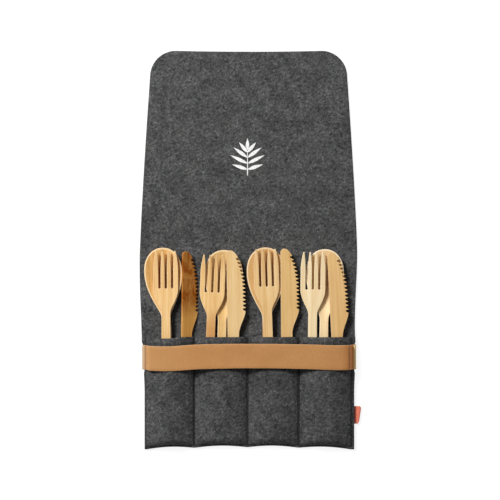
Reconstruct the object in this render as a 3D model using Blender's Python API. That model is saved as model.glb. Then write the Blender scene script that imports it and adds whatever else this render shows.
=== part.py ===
"""A felt cutlery wrap, opened flat, with bamboo spoons, forks and knives in its four pockets.

Metres, +Z up. The wrap lies on its back with the floor at Z = 0. The foot of the pockets is at
the low end of Y and the free end of the flap at the high end. The origin is on the floor under
the middle of the whole object. Each pocket holds a spoon, a fork and a knife, a leather band is
pulled over all four pockets, and a small fabric tab is sewn into the right side seam.
"""

import math

import bmesh
import bpy
from mathutils import Matrix, Vector
from mathutils.bvhtree import BVHTree
from mathutils.geometry import convex_hull_2d

MM = 0.001
CLEAR = 0.3 * MM  # left between pieces that touch

# Felt wrap: one sheet, its foot folded up over itself and sewn into pockets
FELT = 2.6 * MM
WRAP_LENGTH = 398.2 * MM
WRAP_WIDTH = 217.3 * MM  # at its widest, where the flap folds down
FLAP_TAPER = 20.3 * MM  # how much narrower the flap is where its round corners begin
MOUTH_TAPER = 4.3 * MM  # how much narrower the mouth of the pockets is
FOOT_TAPER = 8.1 * MM  # how much narrower the foot is
TAPER_RUN = 55.0 * MM  # below the mouth, over which the pockets narrow to the foot's width
CORNER_RADIUS = 26.0 * MM
POCKET_DEPTH = 111.5 * MM  # mouth to foot
HINGE_ABOVE_MOUTH = 82.0 * MM
DIVIDERS = (0.2348, 0.4951, 0.7456)  # seams between pockets, as shares from side seam to side seam
DIVIDER_WIDTH = 1.6 * MM
SEAM_ALLOWANCE = 2.8 * MM  # felt outside the side seams, at the foot
EDGE_GROOVE = 0.5 * MM  # between the two layers along a sewn side
SEAM_BULGE = 0.5  # how much thicker the gathered felt is beside a seam, as a share
EDGE_PRESS = 0.1  # how much thinner a sewn side edge is, as a share
FOOT_RISE = 2.6 * MM  # how much shorter the foot is in the middle than at its corners
FOOT_SCALLOP = 1.6 * MM  # how much each filled pocket pulls its stretch of the foot up
POCKET_CREST = 9.5 * MM  # least height of a pocket's hollow
CREST_RUN = 26.0 * MM  # from the foot to the full height
CREST_SLOPE = 0.22  # steepest change of height along a pocket
HEADROOM = 0.6 * MM  # least room over the cutlery in a pocket

# Leather band: a closed loop round the pockets
LEATHER = 1.4 * MM
BAND_WIDTH = 25.0 * MM
BAND_BELOW_MOUTH = 7.0 * MM
BAND_EASE = 22.0 * MM  # over which the felt comes down to the floor beside the band

# Side tab: a ribbon folded double, its ends sewn between the two layers of felt
RIBBON = 0.9 * MM
RIBBON_SLIT = 0.25 * MM  # half the gap between its two halves
TAB_WIDTH = 17.4 * MM
TAB_OUT = 6.8 * MM
TAB_IN = 2.0 * MM
TAB_FROM_FOOT = 34.5 * MM  # foot of the wrap to the middle of the tab
TAB_TAPER = 1.4 * MM  # how much less its lower corner sticks out

# Bamboo cutlery, cut from thin stock, each kind a little shorter than the spoons
STOCK = 2.4 * MM
EDGE_ROUND = 0.45 * MM
HANDLE_WIDTH = 11.6 * MM  # near the end of a spoon's or fork's handle
NECK_WIDTH = 8.8 * MM
SPOON_LENGTH = 190.0 * MM
BOWL_WIDTH = 38.0 * MM
BOWL_NOSE = 25.0 * MM  # tip of the bowl to its widest place
BOWL_RUN = 48.0 * MM  # widest place to the neck
BOWL_HEIGHT = 7.0 * MM  # underside to rim
FORK_SHORTER = 4.0 * MM
HEAD_WIDTH = 24.8 * MM
HEAD_RUN = 28.0 * MM  # widest place of the head to the neck
TINE_LENGTH = 36.3 * MM
SLOT_WIDTH = 2.2 * MM
SLOT_PITCH = 6.3 * MM
TINE_POINT = 13.0 * MM  # tapered end of a tine
OUTER_POINT = 18.0 * MM  # tapered end of the head's outer edges
OUTER_TIP = 9.3 * MM  # middle line to the tip of an outer tine
TIP_WIDTH = 1.2 * MM
FORK_BOW = 2.2 * MM  # how far the handle arches off the table
TINE_LIFT = 1.8 * MM  # how far the points curve up again
KNIFE_SHORTER = 1.8 * MM
BLADE_WIDTH = 18.5 * MM
KNIFE_HANDLE_WIDTH = 11.3 * MM
KNIFE_CORNER = 4.0 * MM  # radius at the end of its handle
BLADE_CURVE = 46.0 * MM  # length of the curved end of the cutting edge
BLADE_LENGTH = 60.0 * MM  # tip to the heel
BLADE_THINNING = 0.5  # how much thinner the blade is at its teeth, as a share
HEEL_RUN = 26.0 * MM  # heel to the handle
TEETH = 14
TOOTH_DEPTH = 1.8 * MM
TEETH_FROM_TIP = 6.0 * MM
TEETH_BEHIND_HEEL = 1.5 * MM
KNIFE_TIP = 3.0 * MM  # rounding of the back at the blunt tip
KNIFE_BOW = 1.0 * MM
HANDLE_REST = 34.0 * MM  # end of a handle that finds its own height before the head does

# Where each piece lies in its pocket: how far its handle end lies right of the pocket's middle, in
# widths of the pocket, and above the foot of the hollow, in widths of a handle, then its lean to
# the left and its roll to the right in degrees
LAYOUT = (
    {"spoon": (0.081, 0.6, 3.6, 0), "fork": (-0.066, 0.58, 0.3, 0), "knife": (0.187, 0.41, 0, 34)},
    {"spoon": (-0.039, 0.29, -1.6, 0), "fork": (-0.276, 0.18, -2.25, -2), "knife": (0.156, 0.41, 1.06, 3)},
    {"spoon": (-0.081, 0.5, 1.2, 0), "fork": (-0.038, 0.62, 1.8, 1), "knife": (0.17, 0.57, 0.67, 4)},
    {"spoon": (-0.065, 0.45, -1, 0), "fork": (-0.271, 0.45, -0.6, -2), "knife": (0.224, 0.38, 3.3, 3)},
)
BELOW = {"spoon": (), "fork": ("spoon",), "knife": ("spoon", "fork")}

# Fineness of the meshes
SHARES = (0.0, 0.07, 0.17, 0.3, 0.43, 0.57, 0.7, 0.83, 0.93, 1.0)  # columns across a pocket
ARC_STEPS = 5
RING = (0.93, 0.52, 0.0)  # places across half of a spoon, from edge to middle
POINT_STEPS = (0.0, 0.4, 0.75, 1.0)  # places along a tine's tapered end

# Places worked out from the sizes
FLAP_END = WRAP_LENGTH / 2
FOOT = -WRAP_LENGTH / 2
MOUTH = FOOT + POCKET_DEPTH
HINGE = MOUTH + HINGE_ABOVE_MOUTH
BAND_TOP = MOUTH - BAND_BELOW_MOUTH
BAND_FOOT = BAND_TOP - BAND_WIDTH
BAND_LIFT = LEATHER + CLEAR
TAB_Y = FOOT + TAB_FROM_FOOT
FORK_LENGTH = SPOON_LENGTH - FORK_SHORTER
KNIFE_LENGTH = SPOON_LENGTH - KNIFE_SHORTER


def smooth(t):
    t = min(1.0, max(0.0, t))
    return t * t * (3 - 2 * t)


def near_band(y):
    """1 under the band, falling evenly to 0 on both sides of it."""
    beside = max(y - BAND_TOP - CLEAR, BAND_FOOT - CLEAR - y, 0.0)
    return max(0.0, 1 - beside / BAND_EASE)


def half_width(y):
    """Half the width of the felt, drawn in where the band holds it."""
    if y > HINGE:
        along = min(1.0, (y - HINGE) / (FLAP_END - CORNER_RADIUS - HINGE))
        taper = FLAP_TAPER * along**1.25
    elif y > MOUTH:
        taper = MOUTH_TAPER * smooth((HINGE - y) / (HINGE - MOUTH))
    else:
        taper = MOUTH_TAPER + (FOOT_TAPER - MOUTH_TAPER) * smooth((MOUTH - y) / TAPER_RUN)
    return (WRAP_WIDTH - taper) / 2 - BAND_LIFT * near_band(y)


TAB_TIP = half_width(TAB_Y) + TAB_OUT
MIDDLE = (WRAP_WIDTH / 2 - TAB_TIP) / 2  # the wrap's middle line, with the tab in the whole width
FOOT_HALF = (WRAP_WIDTH - FOOT_TAPER) / 2
SIDE_SEAM = FOOT_HALF - SEAM_ALLOWANCE


def pocket_sides(pocket):
    """The x of the left and right side of a pocket's hollow."""
    seams = [MIDDLE + SIDE_SEAM * (2 * share - 1) for share in (0.0, *DIVIDERS, 1.0)]
    left = seams[pocket] + (DIVIDER_WIDTH / 2 if pocket > 0 else 0.0)
    right = seams[pocket + 1] - (DIVIDER_WIDTH / 2 if pocket < len(DIVIDERS) else 0.0)
    return left, right


def arch(share):
    """Height of a pocket's hollow across it, as a share of its crest: half an ellipse."""
    return math.sqrt(max(0.0, 4 * share * (1 - share)))


def meshed_arch(share):
    """The same as straight runs between the mesh's columns."""
    for left, right in zip(SHARES, SHARES[1:]):
        if share <= right:
            along = (share - left) / (right - left)
            return arch(left) + (arch(right) - arch(left)) * along
    return 0.0


def foot_at(x):
    """The y of the fold at the foot of the wrap."""
    across = (x - MIDDLE) / FOOT_HALF
    y = FOOT + FOOT_RISE * (1 - min(1.0, across * across))
    for pocket in range(len(LAYOUT)):
        left, right = pocket_sides(pocket)
        if left < x < right:
            y += FOOT_SCALLOP * arch((x - left) / (right - left))
    return y


def floor_at(y):
    """The z of the felt's upper side where it lies single."""
    return FELT + BAND_LIFT * near_band(y)


def pocket_rows():
    """Distances of the felt's rows from the mouth, the last one where the hollow ends."""
    depth = POCKET_DEPTH - FELT
    band = [0.0, BAND_BELOW_MOUTH - CLEAR, BAND_BELOW_MOUTH + BAND_WIDTH / 2]
    band.append(BAND_BELOW_MOUTH + BAND_WIDTH + CLEAR)
    start = band[-1]
    end = depth - CREST_RUN / 2
    between = [start + (end - start) * k / 5 for k in range(1, 5)]
    nose = [depth - CREST_RUN * share for share in (0.5, 0.28, 0.14, 0.05, 0.0)]
    return band + between + nose


def row_y(x, down):
    """The y of a row at x: rows near the foot follow its curve."""
    depth = POCKET_DEPTH - FELT
    return MOUTH - down * (MOUTH - foot_at(x) - FELT) / depth


def linear_colour(red, green, blue):
    """The colour of a surface from its 0 to 255 values as a screen shows them."""
    shares = [value / 255 for value in (red, green, blue)]
    return (*[s / 12.92 if s <= 0.04045 else ((s + 0.055) / 1.055) ** 2.4 for s in shares], 1.0)


def material(name, colour, roughness):
    made = bpy.data.materials.new(name)
    made.use_nodes = True
    shader = made.node_tree.nodes["Principled BSDF"]
    shader.inputs["Base Color"].default_value = linear_colour(*colour)
    shader.inputs["Roughness"].default_value = roughness
    shader.inputs["Metallic"].default_value = 0.0
    made.diffuse_color = linear_colour(*colour)
    return made


def put_object(name, bm, finish, sharp_angle=40):
    """Turns a bmesh into a named object of the scene."""
    bmesh.ops.recalc_face_normals(bm, faces=bm.faces)
    mesh = bpy.data.meshes.new(name)
    bm.to_mesh(mesh)
    bm.free()
    mesh.shade_smooth()
    mesh.set_sharp_from_angle(angle=math.radians(sharp_angle))
    mesh.materials.append(finish)
    obj = bpy.data.objects.new(name, mesh)
    bpy.context.scene.collection.objects.link(obj)
    return obj


def loft(rings):
    """A closed bmesh through rings of as many points each, capped at both ends."""
    bm = bmesh.new()
    loops = [[bm.verts.new(point) for point in ring] for ring in rings]
    for a, b in zip(loops, loops[1:]):
        for k in range(len(a)):
            after = (k + 1) % len(a)
            bm.faces.new((a[k], a[after], b[after], b[k]))
    bm.faces.new(reversed(loops[0]))
    bm.faces.new(loops[-1])
    return bm


def cut_from_stock(outline, stations, rise, thin=None):
    """A blank of the outline's shape with its edges broken, bent to rise over its length."""
    bm = bmesh.new()
    blank = bm.faces.new([bm.verts.new((x, y, 0)) for x, y in outline])
    raised = bmesh.ops.extrude_face_region(bm, geom=[blank])["geom"]
    for vert in raised:
        if isinstance(vert, bmesh.types.BMVert):
            vert.co.z = STOCK
    bm.normal_update()
    rim = [e for e in bm.edges if abs(e.verts[0].co.z - e.verts[1].co.z) < STOCK / 2]
    bmesh.ops.bevel(bm, geom=rim, offset=EDGE_ROUND, segments=1, affect="EDGES")
    for y in stations:
        everything = bm.verts[:] + bm.edges[:] + bm.faces[:]
        bmesh.ops.bisect_plane(bm, geom=everything, plane_co=(0, y, 0), plane_no=(0, 1, 0))
    for vert in bm.verts:
        middle = STOCK / 2
        keep = thin(vert.co.x, vert.co.y) if thin else 1.0
        vert.co.z = middle + (vert.co.z - middle) * keep + rise(vert.co.y)
    bmesh.ops.triangulate(bm, faces=bm.faces)
    return bm


def round_end(width, y):
    """Half the width of a strip with a half-round end at y = 0."""
    radius = width / 2
    return math.sqrt(max(0.0, radius**2 - (radius - min(y, radius)) ** 2))


def handle_half(y, neck_y):
    """Half the width of a handle that narrows from near its end to its neck."""
    width = HANDLE_WIDTH + (NECK_WIDTH - HANDLE_WIDTH) * smooth(y / neck_y)
    return min(width / 2, round_end(HANDLE_WIDTH, y))


def blend_widths(head, handle):
    return (head**4 + handle**4) ** 0.25


def arc_rows(radius):
    """Distances along a half-round end, close together where it turns fastest."""
    return [radius * (1 - math.cos(math.pi / 2 * k / ARC_STEPS)) for k in range(1, ARC_STEPS + 1)]


def spoon_mesh():
    neck = SPOON_LENGTH - BOWL_NOSE - BOWL_RUN
    widest = SPOON_LENGTH - BOWL_NOSE

    def bowl_half(y):
        if y > widest:
            along = (y - widest) / BOWL_NOSE
            return BOWL_WIDTH / 2 * max(0.0, 1 - along**2.3) ** 0.48
        return BOWL_WIDTH / 2 * math.cos(math.pi / 2 * min(1.0, (widest - y) / BOWL_RUN))

    def ring(y):
        lobe = bowl_half(y)
        half = lobe if y > widest else blend_widths(lobe, handle_half(y, neck))
        half = max(half, EDGE_ROUND)
        rim = STOCK + (BOWL_HEIGHT - STOCK) * math.sin(math.pi / 2 * min(1.0, y / neck))
        hollow = (BOWL_HEIGHT - STOCK) * (lobe / (BOWL_WIDTH / 2)) ** 1.3

        def dish(share):
            return hollow * (1 - share * share) ** 0.8

        across = [-share for share in RING] + [share for share in reversed(RING[:-1])]
        top = [(half * s, y, rim - dish(s)) for s in across]
        under = [(half * s, y, rim - dish(s) - STOCK) for s in reversed(across)]
        edge = rim - STOCK / 2
        return [*top, (half, y, edge), *under, (-half, y, edge)]

    end = arc_rows(HANDLE_WIDTH / 2)
    nose = [SPOON_LENGTH - BOWL_NOSE * share for share in (0.6, 0.34, 0.16, 0.05, 0.008)]
    bowl = [neck + (widest - neck) * share for share in (0.16, 0.34, 0.5, 0.66, 0.82, 1.0)]
    handle = [neck * share for share in (0.2, 0.38, 0.56, 0.74, 0.88, 1.0)]
    return loft([ring(y) for y in (*end, *handle, *bowl, *nose)])


def fork_rise(y):
    """Height of the fork's underside: it arches to the neck and its points turn up."""
    touch = FORK_LENGTH - TINE_LENGTH
    if y < touch:
        return FORK_BOW * math.sin(math.pi * y / touch)
    return TINE_LIFT * ((y - touch) / TINE_LENGTH) ** 2


def fork_mesh():
    root = FORK_LENGTH - TINE_LENGTH
    neck = root - HEAD_RUN
    radius = SLOT_WIDTH / 2

    def side(y):
        head = HEAD_WIDTH / 2 * math.cos(math.pi / 2 * min(1.0, max(0.0, root - y) / HEAD_RUN))
        return blend_widths(head, handle_half(y, neck)) if y < root else HEAD_WIDTH / 2

    def taper(base, tip, run):
        """One side of a tine, from where it begins to narrow up to its tip."""
        return [(tip + (base - tip) * (1 - s**1.7), FORK_LENGTH - run * (1 - s)) for s in POINT_STEPS]

    def point(outer, run, tip, inner):
        """The end of a tine, up its outer side and down its inner side."""
        up = taper(outer, tip + TIP_WIDTH / 2, run)
        down = taper(inner, tip - TIP_WIDTH / 2, TINE_POINT)
        return [*up, *reversed(down)]

    def slot(middle, start, stop):
        """The round end of a slot, between two angles from its right side."""
        turns = [math.radians(start + (stop - start) * k / 3) for k in range(4)]
        return [(middle + radius * math.cos(a), root - radius * math.sin(a)) for a in turns]

    end = [(round_end(HANDLE_WIDTH, y), y) for y in arc_rows(HANDLE_WIDTH / 2)]
    handle = [(side(y), y) for y in (neck * s for s in (0.3, 0.6, 0.85, 1.0))]
    head_shares = (0.2, 0.4, 0.55, 0.7, 0.85, 1.0)
    head = [(side(y), y) for y in (neck + HEAD_RUN * s for s in head_shares)]
    outer_tine = point(HEAD_WIDTH / 2, OUTER_POINT, OUTER_TIP, SLOT_PITCH + radius)
    inner_tine = point(SLOT_PITCH - radius, TINE_POINT, SLOT_PITCH / 2, radius)
    right = [*end, *handle, *head, *outer_tine, *slot(SLOT_PITCH, 0, 180), *inner_tine]
    right += slot(0, 0, 90)[:-1]
    left = [(-x, y) for x, y in reversed(right)]
    bottom = (0.0, 0.0)
    outline = [bottom, *right, (0.0, root - radius), *left]
    handle_cuts = [neck * s for s in (0.15, 0.45, 0.72)]
    tine_cuts = [root + TINE_LENGTH * s for s in (0.3, 0.55)]
    return cut_from_stock(outline, [*handle_cuts, neck + HEAD_RUN / 2, *tine_cuts], fork_rise)


def knife_mesh():
    heel = KNIFE_LENGTH - BLADE_LENGTH
    grip = heel - HEEL_RUN

    def width(y):
        from_tip = KNIFE_LENGTH - y
        if from_tip < BLADE_CURVE:
            return BLADE_WIDTH * (1 - ((BLADE_CURVE - from_tip) / BLADE_CURVE) ** 2.2) ** 0.5
        if y > heel:
            return BLADE_WIDTH
        step = smooth((y - grip) / HEEL_RUN)
        return KNIFE_HANDLE_WIDTH + (BLADE_WIDTH - KNIFE_HANDLE_WIDTH) * step

    def thin(x, y):
        """The blade thins towards its teeth."""
        across = max(0.0, x) / BLADE_WIDTH
        return 1 - BLADE_THINNING * smooth((y - grip) / HEEL_RUN) * across

    def rise(y):
        return KNIFE_BOW * math.sin(math.pi * y / KNIFE_LENGTH)

    first = heel - TEETH_BEHIND_HEEL
    last = KNIFE_LENGTH - TEETH_FROM_TIP
    pitch = (last - first) / TEETH
    teeth = []
    for k in range(TEETH):
        y = first + pitch * k
        teeth.append((width(y), y))
        teeth.append((width(y + pitch * 0.35), y + pitch * 0.35))
        teeth.append((width(y + pitch * 0.7) - TOOTH_DEPTH, y + pitch * 0.7))
    tip = [(width(y), y) for y in (KNIFE_LENGTH - TEETH_FROM_TIP * s for s in (1.0, 0.5, 0.13))]
    tip += [(KNIFE_TIP * s, KNIFE_LENGTH - KNIFE_TIP * (1 - s) ** 2) for s in (1.0, 0.7, 0.3, 0.0)]
    turns = [math.pi / 2 * k / 4 for k in range(5)]
    corner = [(KNIFE_CORNER * (1 - math.sin(a)), KNIFE_CORNER * (1 - math.cos(a))) for a in turns]
    near = [(KNIFE_HANDLE_WIDTH - x, y) for x, y in corner]
    handle = [(width(y), y) for y in (grip * 0.5, grip)]
    heel_shares = (0.25, 0.5, 0.75)
    back = [(width(y), y) for y in (grip + (heel - grip) * s for s in heel_shares)]
    outline = [*near, *handle, *back, *teeth, *tip, *reversed(corner)]
    cuts = [KNIFE_LENGTH * s for s in (0.13, 0.27, 0.42, 0.54, 0.66, 0.78, 0.9)]
    return cut_from_stock(outline, cuts, rise, thin)


def samples(verts, edges):
    """Points along every edge, the ends among them."""
    shares = (0.0, 0.2, 0.4, 0.6, 0.8, 1.0)
    return [verts[a].lerp(verts[b], s) for a, b in edges for s in shares]


class Placed:
    """A piece where it lies: its points in the world and a tree of its faces."""

    def __init__(self, obj):
        matrix = Matrix.LocRotScale(obj.location, obj.rotation_euler, None)
        verts = [matrix @ vert.co for vert in obj.data.vertices]
        self.points = samples(verts, [tuple(edge.vertices) for edge in obj.data.edges])
        self.tree = BVHTree.FromPolygons(verts, [tuple(face.vertices) for face in obj.data.polygons])

    def top(self, point):
        hit = self.tree.ray_cast(Vector((point.x, point.y, 1)), Vector((0, 0, -1)))[0]
        return hit.z if hit else -1.0

    def underside(self, point):
        hit = self.tree.ray_cast(Vector((point.x, point.y, -1)), Vector((0, 0, 1)))[0]
        return hit.z if hit else 2.0


def gaps(piece, supports):
    """(distance from the handle's end, gap in z) all over a piece and what lies under it."""
    found = []
    for point in piece.points:
        ground = max([floor_at(point.y), *[support.top(point) for support in supports]])
        found.append((point.y, point.z - ground))
    for support in supports:
        for point in support.points:
            found.append((point.y, piece.underside(point) - point.z))
    return found


def seat(obj, supports):
    """Lays a piece down: its handle's end first, then its head, tilted until it touches."""
    end = obj.location.y
    for _ in range(6):
        found = gaps(Placed(obj), supports)
        drop = min(gap for y, gap in found if y - end < HANDLE_REST) - CLEAR
        reach = [(y - end, gap - drop - CLEAR) for y, gap in found if y - end >= HANDLE_REST]
        obj.location.z -= drop
        obj.rotation_euler.x -= min(gap / lever for lever, gap in reach)
    short = min(gap for _, gap in gaps(Placed(obj), supports)) - CLEAR
    obj.location.z -= short


def crests(pocket, pieces):
    """Height of a pocket's hollow at each row: enough for what lies in it, and an even curve."""
    left, right = pocket_sides(pocket)
    rows = pocket_rows()
    depth = rows[-1]
    need = [POCKET_CREST * math.sqrt(min(1.0, (depth - down) / CREST_RUN)) for down in rows]
    for point in [p for piece in pieces for p in piece.points if p.y < MOUTH + CLEAR]:
        down = (MOUTH - point.y) * depth / (MOUTH - foot_at(point.x) - FELT)
        share = (point.x - left) / (right - left)
        height = (point.z + HEADROOM - floor_at(point.y)) / max(0.1, meshed_arch(share))
        for k in range(len(rows) - 1):
            if rows[max(0, k - 1)] <= down <= rows[k + 1]:
                need[k] = max(need[k], height)
    eased = []
    for here in rows:
        slopes = [h - CREST_SLOPE * abs(here - there) for h, there in zip(need[:-1], rows)]
        eased.append(max(slopes))
    eased[-1] = 0.0
    for k in (-2, -3, -4):
        eased[k] = need[k]
    return eased


def felt_mesh(heights):
    """The folded and sewn sheet, with an open hollow in each pocket, and its side points.

    Layers: 0 underside, 1 upper side of the back and floor of the pockets, 2 ceiling of the
    pockets, 3 outside of the pockets. Layer 1 meets layer 2 along the seams and at the foot.
    """
    bm = bmesh.new()
    rows = pocket_rows()
    last = len(rows) - 1
    columns = [(None, 0.0)]
    for pocket in range(len(LAYOUT)):
        columns += [(pocket, share) for share in SHARES]
    columns.append((None, 1.0))
    count = len(columns)
    seams = [c for c, (pocket, share) in enumerate(columns) if share in (0.0, 1.0)]

    def column_x(c, y):
        pocket, share = columns[c]
        if pocket is None:
            return MIDDLE + (half_width(y) if share else -half_width(y))
        left, right = pocket_sides(pocket)
        return left + (right - left) * share

    def place(c, j, layer):
        x = column_x(c, MOUTH - rows[j])
        y = row_y(x, rows[j])
        x = column_x(c, y)
        pocket, share = columns[c]
        under = floor_at(y) - FELT
        if layer == 0:
            return x, y, under
        if layer == 1 or (layer == 2 and share in (0.0, 1.0)):
            groove = EDGE_GROOVE if pocket is None else 0.0
            return x + (groove if x < MIDDLE else -groove), y, under + FELT
        crest = 0.0 if pocket is None else heights[pocket][j]
        inner = crest * arch(share)
        if layer == 2:
            return x, y, under + FELT + inner
        if pocket is None:
            return x, y, under + FELT * (2 - EDGE_PRESS)
        bulge = SEAM_BULGE * (1 - arch(share)) * min(1.0, crest / POCKET_CREST)
        return x, y, under + FELT + inner + FELT * (1 + bulge)

    # Flap and the single back sheet above the mouth: rows of two points on each side of the felt
    turns = [math.pi / 2 * k / ARC_STEPS for k in range(ARC_STEPS + 1)]
    corners = [
        (FLAP_END - CORNER_RADIUS * (1 - math.sin(a)), CORNER_RADIUS * (1 - math.cos(a)))
        for a in reversed(turns)
    ]
    straight = [HINGE + (corners[-1][0] - HINGE) * s for s in (0.85, 0.65, 0.45, 0.25, 0.1, 0.0)]
    straight += [HINGE + (MOUTH - HINGE) * s for s in (0.25, 0.5)]
    straight += [BAND_TOP + CLEAR + BAND_EASE, MOUTH + (BAND_TOP + CLEAR + BAND_EASE - MOUTH) / 2]
    flap = []
    for y, inset in corners + [(y, 0.0) for y in straight]:
        half = half_width(y) - inset
        under = floor_at(y) - FELT
        points = [(MIDDLE - half, y, under), (MIDDLE + half, y, under)]
        flap.append([bm.verts.new(p) for p in points + [(x, y, z + FELT) for x, y, z in points]])
    for a, b in zip(flap, flap[1:]):
        bm.faces.new((a[0], a[1], b[1], b[0]))
        bm.faces.new((a[3], a[2], b[2], b[3]))
        bm.faces.new((a[2], a[0], b[0], b[2]))
        bm.faces.new((a[1], a[3], b[3], b[1]))
    top = flap[0]
    bm.faces.new((top[1], top[0], top[2], top[3]))

    # Layers of the pockets
    low = [[bm.verts.new(place(c, j, 0)) for c in (0, count - 1)] for j in range(last)]
    low.append([bm.verts.new(place(c, last, 0)) for c in range(count)])
    back = [{c: bm.verts.new(place(c, j, 1)) for c in seams} for j in range(last)]
    back.append({c: bm.verts.new(place(c, last, 1)) for c in range(count)})
    ceiling = []
    for j in range(last + 1):
        inner = {c: bm.verts.new(place(c, j, 2)) for c in range(count) if c not in back[j]}
        ceiling.append({**back[j], **inner})
    outside = [[bm.verts.new(place(c, j, 3)) for c in range(count)] for j in range(last + 1)]

    # Underside, and the join of the back sheet to the mouth
    end = flap[-1]
    bm.faces.new((end[0], end[1], low[0][1], low[0][0]))
    bm.faces.new((end[3], end[2], *[back[0][c] for c in seams]))
    bm.faces.new((end[2], end[0], low[0][0], back[0][0]))
    bm.faces.new((end[1], end[3], back[0][count - 1], low[0][1]))
    for j in range(last - 1):
        bm.faces.new((low[j][0], low[j][1], low[j + 1][1], low[j + 1][0]))
    bm.faces.new((low[last - 1][0], low[last - 1][1], *reversed(low[last])))

    # Outside of the pockets, their ceilings, their floors, and the cut edge at the mouth
    for j in range(last):
        for c in range(count - 1):
            bm.faces.new((outside[j][c], outside[j][c + 1], outside[j + 1][c + 1], outside[j + 1][c]))
            if columns[c][0] is not None and columns[c][0] == columns[c + 1][0]:
                a, b = ceiling[j], ceiling[j + 1]
                bm.faces.new((a[c + 1], a[c], b[c], b[c + 1]))
    for c in range(count - 1):
        bm.faces.new((outside[0][c + 1], outside[0][c], ceiling[0][c], ceiling[0][c + 1]))
    for left, right in zip(seams[1:-1:2], seams[2:-1:2]):
        for j in range(last - 1):
            a, b = back[j], back[j + 1]
            bm.faces.new((a[left], a[right], b[right], b[left]))
        foot = [back[last][c] for c in range(right, left - 1, -1)]
        bm.faces.new((back[last - 1][left], back[last - 1][right], *foot))

    # Round fold at the foot
    fold = [outside[last]]
    for k in range(1, 4):
        turn = math.pi * k / 4
        line = []
        for c in range(count):
            x, y, z = place(c, last, 1)
            x = outside[last][c].co.x
            line.append(bm.verts.new((x, y - FELT * math.sin(turn), z + FELT * math.cos(turn))))
        fold.append(line)
    fold.append(low[last])
    for a, b in zip(fold, fold[1:]):
        for c in range(count - 1):
            bm.faces.new((a[c], a[c + 1], b[c + 1], b[c]))

    # Cut edges along the two sewn sides
    for side, c in ((0, 0), (1, count - 1)):
        for j in range(last):
            lower = low[j + 1][side] if j + 1 < last else low[last][c]
            bm.faces.new((low[j][side], back[j][c], back[j + 1][c], lower))
            bm.faces.new((back[j][c], outside[j][c], outside[j + 1][c], back[j + 1][c]))
        bm.faces.new((back[last][c], *[line[c] for line in fold]))
    bmesh.ops.triangulate(bm, faces=bm.faces)
    return bm


def band_mesh(wrap):
    """A belt round the section of the wrap, hugging its hull."""
    span = [v.co for v in wrap.data.vertices if BAND_FOOT - MM <= v.co.y <= BAND_TOP + MM]
    flat = [Vector((point.x, point.z)) for point in span]
    hull = [flat[k] for k in convex_hull_2d(flat)]
    normals = []
    for a, b in zip(hull, hull[1:] + hull[:1]):
        along = (b - a).normalized()
        normals.append(Vector((along.y, -along.x)))
    turns = []
    for k, corner in enumerate(hull):
        before, after = normals[k - 1], normals[k]
        bend = before.angle_signed(after, 0.0)
        steps = max(1, math.ceil(abs(bend) / math.radians(24)))
        for step in range(steps + 1):
            if steps > 1 or step == 0:
                turned = before.lerp(after, step / steps if steps > 1 else 0.5).normalized()
                turns.append((corner, turned))
    bm = bmesh.new()
    loops = []
    for y in (BAND_FOOT, BAND_TOP):
        for away in (CLEAR, CLEAR + LEATHER):
            places = [corner + normal * away for corner, normal in turns]
            loops.append([bm.verts.new((p.x, y, p.y)) for p in places])
    inner_foot, outer_foot, inner_top, outer_top = loops
    around = [inner_foot, outer_foot, outer_top, inner_top]
    for a, b in zip(around, around[1:] + around[:1]):
        for k in range(len(a)):
            after = (k + 1) % len(a)
            bm.faces.new((a[k], a[after], b[after], b[k]))
    bmesh.ops.triangulate(bm, faces=bm.faces)
    return bm


def tab_mesh():
    """A ribbon folded double, seen along Y as a hairpin."""
    start = MIDDLE + half_width(TAB_Y) - TAB_IN
    length = TAB_IN + TAB_OUT
    radius = RIBBON + RIBBON_SLIT
    bend = length - radius
    turns = [math.pi / 2 * (1 - k / 3) for k in range(7)]
    outer = [(bend + radius * math.cos(a), radius * math.sin(a)) for a in turns]
    inner = [(bend + RIBBON_SLIT * math.cos(a), RIBBON_SLIT * math.sin(a)) for a in reversed(turns)]
    profile = [(0.0, radius), *outer, (0.0, -radius), (0.0, -RIBBON_SLIT), *inner, (0.0, RIBBON_SLIT)]
    bm = bmesh.new()
    loops = []
    for y, shorter in ((TAB_Y - TAB_WIDTH / 2, TAB_TAPER), (TAB_Y + TAB_WIDTH / 2, 0.0)):
        shrink = (length - shorter) / length
        points = [(start + x * (shrink if x > length / 2 else 1.0), y, FELT + z) for x, z in profile]
        loops.append([bm.verts.new(point) for point in points])
    near, far = loops
    for k in range(len(near)):
        after = (k + 1) % len(near)
        bm.faces.new((near[k], near[after], far[after], far[k]))
    bm.faces.new(reversed(near))
    bm.faces.new(far)
    bmesh.ops.triangulate(bm, faces=bm.faces)
    return bm


def cut_tab_slot(wrap):
    """Opens the right side seam where the ribbon's ends go in."""
    depth = TAB_IN + CLEAR
    out = 2 * FELT
    bm = bmesh.new()
    bmesh.ops.create_cube(bm, size=1.0)
    height = 2 * (RIBBON + RIBBON_SLIT + CLEAR)
    bmesh.ops.scale(bm, vec=(depth + out, TAB_WIDTH + 2 * CLEAR, height), verts=bm.verts)
    edge = MIDDLE + half_width(TAB_Y)
    bmesh.ops.translate(bm, vec=(edge + (out - depth) / 2, TAB_Y, FELT), verts=bm.verts)
    cutter = put_object("tab_slot_cutter", bm, FELT_FINISH)
    cutter.hide_render = True
    cutter.display_type = "WIRE"
    slot = wrap.modifiers.new("tab slot", "BOOLEAN")
    slot.operation = "DIFFERENCE"
    slot.object = cutter


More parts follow.
